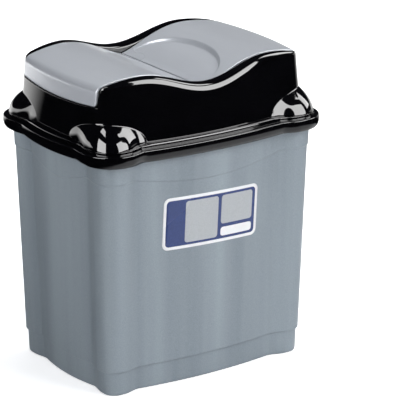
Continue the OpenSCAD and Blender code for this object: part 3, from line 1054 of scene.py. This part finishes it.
        # the shoulder is sh high, starts at d and leads along w to the opening's edge
        room = np.minimum(1, self.brow_share * np.linalg.norm(mouth - p, axis=1) / self.shoulder_w)
        sh = mix(self.ledge_shoulder, self.shoulder_h * room, c)
        d = self.dome(self.arc(zt - sh))
        width = np.linalg.norm(mouth - d, axis=1)
        w = unit(mouth - d)
        half = np.minimum(t, width / 2 - self.lip_least)[:, None]
        brow = np.minimum(mix(self.ledge_ridge, self.shoulder_w, c), self.brow_share * width)
        ridge = d + w * brow[:, None]
        fall = mix(self.ledge_r, self.ridge_r, c)
        lip_z = zt - mix(t + self.ledge_lip, self.apron_d, c)
        down = self.foot_drop * b

        def on_skirt(off: Number, z: Number) -> Array:
            """Gives a ring at height z, off outside the skirt."""
            return lift(skirt.grown(off).at(st), z)

        # each ring, and how far from it its rounding starts: the skirt and the stepped rim
        rows: list[tuple[Array, float]] = [(on_skirt(0, self.skirt_z), 0.5)]
        rows += [(on_skirt(self.skirt_bulge * out, self.skirt_z + self.skirt_h * up), SMOOTH)
                 for out, up in self.skirt_curve]
        rows += [(on_skirt(self.step_out, self.ledge_z), 1.6),
                 (on_skirt(self.corner_lean * b - self.step_in, self.ledge_z), 0.1),
                 (on_skirt(-self.step_in, self.rim_z - down),
                  self.rim_r * (1 - self.rim_crease * b[:, None]))]
        # the flank, the shoulder and the brow
        rows += [(self.flank(q, 0, 0), 0.0 if q else 0.1) for q in np.linspace(0, 1, 19)]
        rows[-1] = (rows[-1][0], 0.7)
        for q in np.linspace(0, 90, 12):
            out, up = cosd(q) ** self.shoulder_power, sind(q) ** self.shoulder_power
            rows.append((lift(ridge + (d - ridge) * out, zt - sh + sh * up), 0.0))
        for q in np.linspace(0, 90, 10)[1:]:
            rows.append((lift(ridge + (mouth - ridge) * sind(q), zt - fall + fall * cosd(q)), 0.0))
        # the apron's edge and the way back down inside
        rows += [(lift(mouth, lip_z), 0.5), (lift(mouth - w * half, lip_z), 0.5),
                 (lift(mouth - w * half, zt - fall - self.inner_drop[0]), 1.0),
                 (lift((mouth + d) / 2, zt - t - self.inner_drop[1]), SMOOTH),
                 (lift(d + w * half, zt - sh - self.inner_drop[2]), 1.0)]
        rows += [(self.flank(q, -t, q - t), 0.0) for q in np.linspace(1, 0, 9)]
        out = self.skirt_bulge - t
        rows += [(on_skirt(-mix(*self.inner_foot, b) - t, self.rim_z - t - down), 0.8),
                 (on_skirt(-self.step_in - t, self.ledge_z - t), 0.8),
                 (on_skirt(out - self.inner_skirt, self.ledge_z - t), 1.0),
                 (on_skirt(out, self.skirt_z + self.skirt_h * self.inner_bulge), SMOOTH),
                 (on_skirt(-t, self.skirt_z), 0.5)]
        return rounded(rows, True, 5)

    @staticmethod
    def tree() -> ShapeBench:
        """Makes the tree that gives four rods along Y, for the bosses and for the bores."""
        bench = ShapeBench("hinge_rods")
        rod = bench.rod(bench.ask("Radius"), bench.ask("Length"))
        places = bench.places(2, bench.ask("Along"), bench.ask("Across"),
                              bench.ask("Middle", "Vector"))
        bench.close(bench.repeat(places, rod))
        return bench

    def build(self, finish: BlackGloss, axle_z: float) -> Piece:
        """Builds the cover with its hinge bosses and bores.

        Args:
            finish: the cover's finish.
            axle_z: height of the flaps' axles.

        Returns:
            The piece.
        """
        piece = make_object("cover_shell", loft(self.rings(), True), finish.material())
        edge, stub = float(self.mouth_half(self.axle_x)), self.axle_l - self.boss_less
        boss_y, bore_y = edge + self.boss_in + stub / 2, edge + self.axle_l / 2
        bore_r, tree = self.bore_d / 2, self.tree()
        for name, how, r, length, y in (
            ("bosses", "UNION", bore_r + self.boss_wall, stub, boss_y),
            ("bores", "DIFFERENCE", bore_r, self.axle_l + self.bore_more, bore_y),
        ):
            cutter = make_object(name, bmesh.new(), piece.data.materials[0])
            tree.shape(cutter, Radius=r * MM, Length=length * MM, Along=2 * self.axle_x * MM,
                       Across=2 * y * MM, Middle=(0.0, 0.0, axle_z * MM))
            join = piece.modifiers.new(name, "BOOLEAN")
            join.object, join.operation, join.solver = cutter, how, "EXACT"
            bake(piece)
            bpy.data.objects.remove(cutter)
        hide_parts("cover")
        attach(piece, "cover")
        return piece


# ---- flaps -------------------------------------------------------------------------------------


@dataclass
class Flap:
    """A silver swing flap: one moulding with lip, recess, lugs and stub axles."""

    cover: Cover
    side: Side
    thick: float = 2.0
    gap: float = 0.8
    split_gap: float = 1.2
    drop: float = 0.4
    sink: float = 6.3
    lip_r: float = 7.0
    lip_corner_r: float = 3.0
    lip_gap: float = 0.5
    lip_back: float = 0.8
    lip_tilt: float = 85.0
    lip_steps: tuple[float, ...] = (0.2, 0.4, 0.6, 0.8, 0.9, 0.95, 0.985, 1.0)
    strip_w: float = 7.0
    strip_edge: float = 1.2  # from the inner edge to the strip's first row
    recess_reach: float = 32.0
    recess_half: float = 53.0
    recess_d: float = 3.4
    recess_x: float = 20.0  # where the recess's width is measured
    recess_start: float = 1.5
    recess_edge: float = 2.4
    recess_wall: float = 0.7
    recess_bend: Pair = (0.5, 0.4)  # share of the reach and of the depth at the ramp's bend
    recess_soft: float = 0.35
    axle_drop: float = 7.0
    axle_d: float = 5.0
    lug_t: float = 2.6
    lug_wall: float = 2.0
    web_in: float = 0.8
    lip_angle: float = 11.0
    power: float = 0.72
    edge_r: float = 0.7
    lip_x: float = field(init=False)
    lip_z: float = field(init=False)
    axle_z: float = field(init=False)

    def __post_init__(self) -> None:
        """Works out the lip's place and the axle's height."""
        c = self.cover
        self.lip_x = float(c.end_x(c.mouth_y)) - self.lip_r - self.lip_back
        start = self.lip_x + self.lip_r * sind(self.lip_angle)
        self.lip_z = float(self.top(start)) - self.lip_r * cosd(self.lip_angle)
        self.axle_z = float(self.top(c.axle_x)) - self.axle_drop

    @property
    def name(self) -> str:
        """Gives the flap's name in the CAD model."""
        return f"flap_{self.side.name.lower()}"

    def top(self, x: Number) -> Array:
        """Gives the height of the flap's top at x, away from its recess."""
        c, x = self.cover, np.asarray(x, float)
        crest = c.crest_z - self.drop
        rise = wave((np.maximum(x, 0) / c.crest_x) ** self.power)
        return np.where(x < c.crest_x, mix(c.valley_z - self.drop - self.sink, crest, rise),
                        crest - c.crest_fall * np.square(x - c.crest_x))

    def half(self, x: Number) -> Array:
        """Gives half the flap's width at x."""
        return self.cover.mouth_half(x) - self.gap

    def lip_edge(self, y: Array) -> Array:
        """Gives the height of the lip's lower edge at y, with its rounded corners."""
        c = self.cover
        corner = np.abs(y) - float(self.half(c.end_x(c.mouth_y))) + self.lip_corner_r
        lift_up = self.lip_corner_r * (1 - np.sqrt(bow(np.maximum(corner, 0) / self.lip_corner_r)))
        dip = c.ledge_dip * np.minimum(1, np.square(y / c.mouth_y))
        return c.notch_z + self.lip_gap + dip + lift_up

    def columns(self) -> tuple[Array, Array]:
        """Gives the columns' shares across the flap, and how far each is rounded down."""
        half = self.half(0.0)
        ring = 1 - np.array(EDGE_STEPS) * self.edge_r / half
        inner = np.concatenate([np.linspace(0.98, 0.93, 11), np.linspace(0.93, 0.86, 11)[1:],
                                np.linspace(0.86, 0, 44)[1:]])
        right = np.concatenate([ring, inner])
        v = np.concatenate([-right[:-1], right[::-1]])
        return v, self.rounding((1 - np.abs(v)) * half)

    def rounding(self, near: Number) -> Array:
        """Gives how far a surface lies down at a distance from its edge."""
        left = np.clip(self.edge_r - near, 0, self.edge_r)
        return self.edge_r - np.sqrt(np.maximum(self.edge_r**2 - left**2, 0))

    def sheet(self, depth: float) -> Array:
        """Gives a grid of the flap's top face or of the face a depth below it.

        Args:
            depth: distance below the top face.

        Returns:
            Points as row, column, axis, for the right-hand flap.
        """
        c = self.cover
        v, side_fall = self.columns()
        arc = np.sqrt(bow(v * self.half(self.recess_x) / self.recess_half))
        start = self.strip_w + self.recess_start
        near = start + (self.recess_reach - self.recess_edge) * arc
        far = start + self.recess_wall + self.recess_reach * arc
        first, end = self.split_gap / 2, float(c.end_x(c.mouth_y))
        lip_start = self.lip_x + self.lip_r * sind(self.lip_angle)
        one = np.ones_like(v)
        rows: list[tuple[Array, Array, Number, Number, float]] = []

        def surface(x: Number, sunk: Number = 0.0, fall: float = 0.0) -> None:
            """Adds a row on the flap's top at x, sunk for the recess, with its edge's fall."""
            x = x * one
            tilt = np.degrees(np.arctan(self.top(x - 0.5) - self.top(x + 0.5)))
            rows.append((x, self.top(x), tilt, sunk, fall))

        for k in np.array(EDGE_STEPS) * self.edge_r:
            surface(first + k, fall=float(self.rounding(k)))
        for x in np.linspace(first + self.strip_edge, start, 8):
            surface(x)
        knee, knee_d = self.recess_bend
        for k in np.linspace(0, 1, 26)[1:]:
            ramp = knee_d / knee * k if k < knee else mix(knee_d, 1.0, (k - knee) / (1 - knee))
            soft = mix(ramp, smooth(k), self.recess_soft)
            surface(mix(start, near, k), self.recess_d * arc * soft)
        for k in np.linspace(0, 1, 12)[1:]:
            surface(mix(near, far, k), self.recess_d * arc * (1 - smooth(k)))
        for k in np.linspace(0, 1, 22)[1:]:
            surface(mix(far, c.crest_x, k))
        for k in np.linspace(0, 1, 16)[1:]:
            surface(mix(c.crest_x, lip_start, k))
        for turn in np.linspace(self.lip_angle, 90, 14)[1:]:
            rows.append((one * (self.lip_x + self.lip_r * sind(turn)),
                         one * (self.lip_z + self.lip_r * cosd(turn)), one * turn, 0.0, 0.0))
        foot = self.lip_edge(v * self.half(end))
        for k in self.lip_steps:
            x, z = one * mix(self.lip_x + self.lip_r, end, k), mix(self.lip_z, foot, k)
            fall = float(self.rounding(np.min(z - foot)))
            rows.append((x, z, one * self.lip_tilt, 0.0, fall))
        grid = np.zeros((len(rows), len(v), 3))
        for i, (x, z, tilt, sunk, fall) in enumerate(rows):
            wide = v * self.half(x)
            lead = c.end_x(np.abs(wide)) - c.end_x(c.mouth_y)
            drift = lead * smooth((x - c.crest_x) / (self.lip_x - c.crest_x))
            down = depth if depth else np.maximum(fall, side_fall)
            grid[i, :, 0] = x + drift - down * sind(tilt)
            grid[i, :, 1] = wide
            grid[i, :, 2] = z - sunk - down * cosd(tilt)
        return grid

    def build(self, finish: SilverPlastic, hinges: ShapeBench) -> Piece:
        """Builds the flap.

        Args:
            finish: the flap's finish.
            hinges: the tree of lugs and axles.

        Returns:
            The piece.
        """
        bm = slab(self.sheet(0.0), self.sheet(self.thick))
        if self.side is Side.LEFT:
            bmesh.ops.scale(bm, vec=(-1, 1, 1), verts=bm.verts)
            bmesh.ops.reverse_faces(bm, faces=bm.faces)
        piece = make_object(f"{self.name}_panel", bm, finish.material())
        self.add_hinges(piece, hinges)
        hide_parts(self.name)
        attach(piece, self.name)
        return piece

    @staticmethod
    def tree() -> ShapeBench:
        """Makes the tree that adds two lugs with webs and stub axles to a flap."""
        bench = ShapeBench("lugs_and_axles")
        middle, lug_t = bench.ask("Hinge Middle", "Vector"), bench.ask("Lug Thickness")
        lug_r, web_h = bench.ask("Lug Radius"), bench.ask("Web Height")
        lug_d = bench.sum("MULTIPLY", lug_r, 2.0)
        size = bench.add("ShaderNodeCombineXYZ", X=lug_d, Y=lug_t, Z=web_h)
        web = bench.add("GeometryNodeMeshCube", Size=size.outputs[0]).outputs[0]
        up = bench.add("ShaderNodeCombineXYZ", Z=bench.sum("MULTIPLY", web_h, 0.5)).outputs[0]
        web = bench.add("GeometryNodeTransform", Geometry=web, Translation=up).outputs[0]
        lugs = bench.places(1, 0.0, bench.ask("Lug Spread"), middle)
        axles = bench.places(1, 0.0, bench.ask("Axle Spread"), middle)
        axle = bench.rod(bench.ask("Axle Radius"), bench.ask("Axle Length"))
        bench.close(bench.start.outputs[0], bench.repeat(lugs, bench.rod(lug_r, lug_t)),
                    bench.repeat(lugs, web), bench.repeat(axles, axle))
        return bench

    def add_hinges(self, piece: Piece, hinges: ShapeBench) -> None:
        """Adds the lugs and stub axles to the flap.

        Args:
            piece: the flap.
            hinges: the tree of lugs and axles.
        """
        c, lug_r = self.cover, self.axle_d / 2 + self.lug_wall
        lug_y = float(self.half(c.axle_x + lug_r))
        axle_end = float(c.mouth_half(c.axle_x)) + c.axle_l
        length = axle_end - lug_y + self.lug_t
        hinges.shape(piece, Hinge_Middle=(self.side.value * c.axle_x * MM, 0.0, self.axle_z * MM),
                     Lug_Thickness=self.lug_t * MM, Lug_Radius=lug_r * MM,
                     Web_Height=(self.axle_drop - self.thick + self.web_in) * MM,
                     Lug_Spread=(2 * lug_y - self.lug_t) * MM,
                     Axle_Spread=(2 * axle_end - length) * MM,
                     Axle_Radius=self.axle_d / 2 * MM, Axle_Length=length * MM)


# ---- label -------------------------------------------------------------------------------------


@dataclass(frozen=True)
class Film:
    """One rounded rectangle of the label, measured from the label's middle."""

    name: str
    middle: Pair
    size: Pair
    corner: float
    height: float
    finish: PrintedFilm


@dataclass
class Label:
    """A plain printed label on the bucket's long side, in layers of film."""

    wall: Piece
    centre: Pair = (0.0, 136.2)
    size: Pair = (90.4, 43.6)
    tilt: float = -1.9
    reach: float = 300.0
    under: float = 0.02

    def patch(self, film: Film, tree: ShapeBench) -> Piece:
        """Builds one film, which follows the bucket's wall.

        Args:
            film: its sizes, and how far its face stands off the wall.
            tree: the tree that lays films on the wall.

        Returns:
            The piece.
        """
        corner, (w, h) = film.corner, (film.size[0] / 2, film.size[1] / 2)
        bend = corner * (1 - cosd(np.linspace(0, 90, 8)))
        straight = np.linspace(-h + corner, h - corner, 10)[1:-1]
        vs = np.concatenate([-h + bend, straight, (h - bend)[::-1]])
        over = np.maximum(np.abs(vs) - (h - corner), 0)
        ws = w - corner + np.sqrt(np.maximum(corner**2 - over**2, 0))
        us = np.linspace(-1, 1, 41)
        u = us[None, :] * ws[:, None] + film.middle[0]
        v = np.repeat(vs[:, None], len(us), 1) + film.middle[1]
        a = math.radians(self.tilt)
        x = self.centre[0] + u * math.cos(a) - v * math.sin(a)
        z = self.centre[1] + u * math.sin(a) + v * math.cos(a)
        flat = np.stack([x, np.full_like(x, -self.reach), z], -1)
        back = flat + [0.0, film.height, 0.0]
        piece = make_object(film.name, slab(flat, back), film.finish.material())
        mark(piece, "mark_height", np.repeat([film.height, self.under], x.size) * MM)
        tree.shape(piece, Wall=self.wall)
        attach(piece, "bucket")
        return piece

    @staticmethod
    def tree() -> ShapeBench:
        """Makes the tree that lays a film on the wall, each point at its marked height over it."""
        bench = ShapeBench("film_on_wall")
        wall = bench.add("GeometryNodeObjectInfo", Object=bench.ask("Wall", "Object"))
        found = bench.add("GeometryNodeRaycast", Target_Geometry=wall.outputs["Geometry"],
                          Ray_Direction=(0.0, 1.0, 0.0), Ray_Length=1.0).outputs["Hit Position"]
        off = bench.sum("MULTIPLY", bench.marked("mark_height"), -1.0)
        out = bench.add("ShaderNodeCombineXYZ", Y=off).outputs[0]
        bench.close(bench.moved(bench.start.outputs[0], Position=found, Offset=out))
        return bench

    def build(self) -> list[Piece]:
        """Builds the label: white film with a dark blue field and blank panels."""
        white = PrintedFilm("label_white", (0.88, 0.88, 0.89), (0.85, 0.85, 0.86))
        navy = PrintedFilm("label_blue", (0.030, 0.055, 0.19), (0.024, 0.045, 0.16))
        grey = PrintedFilm("label_grey", (0.46, 0.48, 0.50), (0.42, 0.44, 0.46))
        w, h = self.size
        films = (
            Film("label_film", (0, 0), (w, h), 5.0, 0.16, white),
            Film("label_field", (0, 0), (w - 5, h - 5), 3.2, 0.20, navy),
            Film("label_panel_a", (-9.6, 0), (31, h - 9), 2.4, 0.24, grey),
            Film("label_panel_b", (24.4, 5.2), (31, h - 19.5), 2.4, 0.24, grey),
            Film("label_panel_c", (24.4, -13.4), (31, 7.4), 2.4, 0.24, white),
        )
        tree = self.tree()
        return [self.patch(film, tree) for film in films]


# ---- studio ------------------------------------------------------------------------------------


class Shines(Enum):
    """What a lamp does: light matt surfaces, or show in glossy ones."""

    MATT = "matt"
    GLOSS = "gloss"


@dataclass(frozen=True)
class Lamp:
    """A soft box: where it hangs, its size in metres, and its radiance."""

    name: str
    spot: Point
    aim: Point
    size: Pair
    radiance: float
    shines: Shines

    @classmethod
    def seen(cls, name: str, azimuth: Pair, height: Pair, away: float,
             radiance: float) -> Lamp:
        """Makes an upright soft box that shows only in glossy surfaces.

        Args:
            name: the lamp's name.
            azimuth: its two sides, in degrees from +Y towards +X.
            height: its lower and upper edge in metres.
            away: its distance from the bin.
            radiance: its brightness.

        Returns:
            The lamp.
        """
        middle, z = math.radians(sum(azimuth) / 2), sum(height) / 2
        half = math.radians(abs(azimuth[1] - azimuth[0]) / 2)
        spot = (away * math.sin(middle), away * math.cos(middle), z)
        size = (2 * away * math.tan(half), height[1] - height[0])
        return cls(name, spot, (0.0, 0.0, z), size, radiance, Shines.GLOSS)

    def build(self) -> None:
        """Hangs the lamp."""
        data = bpy.data.lights.new(self.name, "AREA")
        data.shape = "RECTANGLE"
        data.size, data.size_y = self.size
        data.energy = WATTS * self.size[0] * self.size[1] * self.radiance
        lamp = bpy.data.objects.new(self.name, data)
        lamp.visible_diffuse = self.shines is Shines.MATT
        lamp.visible_glossy = self.shines is Shines.GLOSS
        lamp.visible_camera = False
        lamp.location = self.spot
        lamp.rotation_mode = "QUATERNION"
        lamp.rotation_quaternion = (Vector(self.aim) - Vector(self.spot)).to_track_quat("-Z", "Y")
        bpy.context.scene.collection.objects.link(lamp)


@dataclass(frozen=True)
class Studio:
    """Camera, floor, backdrop and lamps."""

    eye: Point = (-1.257874, -1.891842, 0.902211)
    look: Point = (0.536833, 0.778921, -0.324179)
    roll: float = -0.067
    lens: float = 254.8
    centre: Point = (0.0, 0.0, 0.14)
    pale: Color = (0.86, 0.86, 0.87)
    # painted dark reflection: the floor's colour for gloss rays away from the bin
    black: Color = (0.004, 0.004, 0.005)
    pale_spot: Point = (0.2, -0.22, 0.0)  # gloss sees the floor pale round here, dark further off
    pale_edge: Pair = (0.33, 0.43)
    floor_glow: float = 0.55
    # painted glow: gloss rays see the floor light up behind the bin, though it is no lamp
    back_way: Point = (0.5, 0.866, 0.0)  # gloss sees the floor glow from back_edge on, this way
    back_edge: Pair = (0.5, 0.78)
    back_sides: Pair = (-0.35, 0.1)  # the x between which that glow changes
    back_glow: Pair = (3.6, 1.2)
    room: Color = (0.015, 0.015, 0.02)

    def camera(self) -> None:
        """Puts the camera where the photograph was taken from."""
        data = bpy.data.cameras.new("camera")
        data.lens, data.sensor_width = self.lens, 36.0
        data.clip_start, data.clip_end = 0.1, 100.0
        camera = bpy.data.objects.new("camera", data)
        camera.location = self.eye
        camera.rotation_mode = "QUATERNION"
        level = Vector(self.look).to_track_quat("-Z", "Y")
        roll = Matrix.Rotation(math.radians(-self.roll), 4, "Z")
        camera.rotation_quaternion = level @ roll.to_quaternion()
        bpy.context.scene.collection.objects.link(camera)
        bpy.context.scene.camera = camera

    def floor(self) -> None:
        """Lays a pale floor with a painted reflection: gloss sees it dark away from the bin and
        glowing behind it.
        """
        bm = bmesh.new()
        bmesh.ops.create_grid(bm, x_segments=1, y_segments=1, size=9.0)
        bench = NodeBench("floor_white")
        ways = bench.add("ShaderNodeLightPath").outputs

        def measure(how: str, vector: Point) -> Socket:
            """Works out one number from a floor point's place and a vector."""
            node = bench.add("ShaderNodeVectorMath", Vector=bench.place)
            node.operation = how
            node.inputs[1].default_value = vector
            return node.outputs["Value"]

        away = bench.spread(measure("DISTANCE", self.pale_spot), 0.0, 1.0, self.pale_edge)
        behind = bench.spread(measure("DOT_PRODUCT", self.back_way), 0.0, 1.0, self.back_edge)
        across = bench.add("ShaderNodeSeparateXYZ", Vector=bench.place).outputs[0]
        back = bench.sum("MULTIPLY", behind, bench.spread(across, *self.back_glow, self.back_sides))
        # painted dark reflection: gloss rays see the floor black away from the bin
        dark = bench.sum("MULTIPLY", away, ways["Is Glossy Ray"])
        bench.dress(Base_Color=bench.blend(dark, self.pale, self.black), Roughness=0.9,
                    Specular_IOR_Level=0.0)
        # painted glow for gloss rays behind the bin, and an even glow for camera rays
        glow = bench.sum("ADD", bench.sum("MULTIPLY", ways["Is Glossy Ray"], back),
                         bench.sum("MULTIPLY", ways["Is Camera Ray"], self.floor_glow))
        light = bench.add("ShaderNodeEmission", Color=(1, 1, 1, 1), Strength=glow)
        total = bench.add("ShaderNodeAddShader")
        bench.put(total.inputs[0], bench.shader.outputs[0])
        bench.put(total.inputs[1], light.outputs[0])
        bench.put(bench.tree.nodes["Material Output"].inputs[0], total.outputs[0])
        make_object("floor", bm, bench.material)

    def world(self) -> None:
        """Makes the white backdrop and the dim room that the gloss reflects."""
        world = bpy.data.worlds.new("room")
        world.use_nodes = True
        bench = Bench(world.node_tree)
        bench.tree.nodes.clear()
        ways = bench.add("ShaderNodeLightPath").outputs
        last = bench.add("ShaderNodeBackground", Color=(*self.room, 1)).outputs[0]
        for way, color, strength in (("Is Diffuse Ray", (0.92, 0.95, 1.0), 0.33),
                                     ("Is Camera Ray", (1.0, 1.0, 1.0), 1.0)):
            light = bench.add("ShaderNodeBackground", Color=(*color, 1), Strength=strength)
            choice = bench.add("ShaderNodeMixShader")
            for socket, value in zip(choice.inputs, (ways[way], last, light.outputs[0])):
                bench.put(socket, value)
            last = choice.outputs[0]
        bench.put(bench.add("ShaderNodeOutputWorld").inputs[0], last)
        bpy.context.scene.world = world

    def lamps(self) -> None:
        """Hangs the soft boxes."""
        for lamp in (
            Lamp("top_box", (0.9, -0.1, 2.1), self.centre, (1.6, 1.4), 3.6, Shines.MATT),
            Lamp("right_box", (0.62, -1.65, 1.35), self.centre, (0.7, 0.8), 7.3, Shines.MATT),
            Lamp("left_box", (-1.55, -0.62, 0.85), self.centre, (0.5, 0.7), 5.4, Shines.MATT),
            Lamp("back_box", (0.9, 1.6, 1.2), self.centre, (1.2, 0.9), 1.4, Shines.MATT),
            Lamp.seen("right_low", (137.2, 176.0), (0.175, 0.91), 0.776, 10.0),
            Lamp.seen("right_high", (94.0, 121.0), (0.75, 3.0), 2.0, 9.0),
            Lamp.seen("left_low", (-125.0, -82.0), (0.1, 2.0), 2.0, 10.0),
            Lamp.seen("left_high", (-120.0, -84.0), (1.02, 2.6), 0.5, 9.0),
            Lamp.seen("edge_glow", (48.0, 88.0), (0.02, 0.5), 2.0, 1.6),
        ):
            lamp.build()

    def build(self) -> None:
        """Sets up the whole studio."""
        bpy.context.scene.view_settings.view_transform = "Standard"
        self.camera()
        self.world()
        self.floor()
        self.lamps()


# ---- assembly ----------------------------------------------------------------------------------


def main() -> None:
    """Builds the bin, its label and the studio."""
    logging.basicConfig(level=logging.INFO, format="%(name)s: %(message)s")
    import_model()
    Studio().build()
    bucket = Bucket()
    cover = Cover(bucket)
    # the bucket's tone noise is stretched upright into streaks of painted reflection
    body = SilverPlastic("bucket_silver", light=(0.306, 0.353, 0.388), dark=(0.204, 0.240, 0.270),
                         rough=(0.34, 0.42), coat=0.08, specular=0.3, grain=(1.0, 1.0, 0.04),
                         swell=0.00004, fleck=0.3)
    flaps, hinges = [Flap(cover, side) for side in Side], Flap.tree()
    pieces = [bucket.build(cover, body), cover.build(BlackGloss(), flaps[0].axle_z)]
    for flap in flaps:
        tint = SilverPlastic(f"{flap.name}_silver", light=(0.470, 0.490, 0.524),
                             dark=(0.440, 0.460, 0.494), rough=(0.27, 0.30), coat=0.18,
                             specular=0.5, grain=(1.0, 0.25, 1.0), swell=0.000008, fleck=0.0)
        pieces.append(flap.build(tint, hinges))
    pieces += Label(pieces[0]).build()
    for piece in pieces:
        LOG.info("%s: %d faces", piece.name, len(piece.data.polygons))


if __name__ == "__main__":
    main()
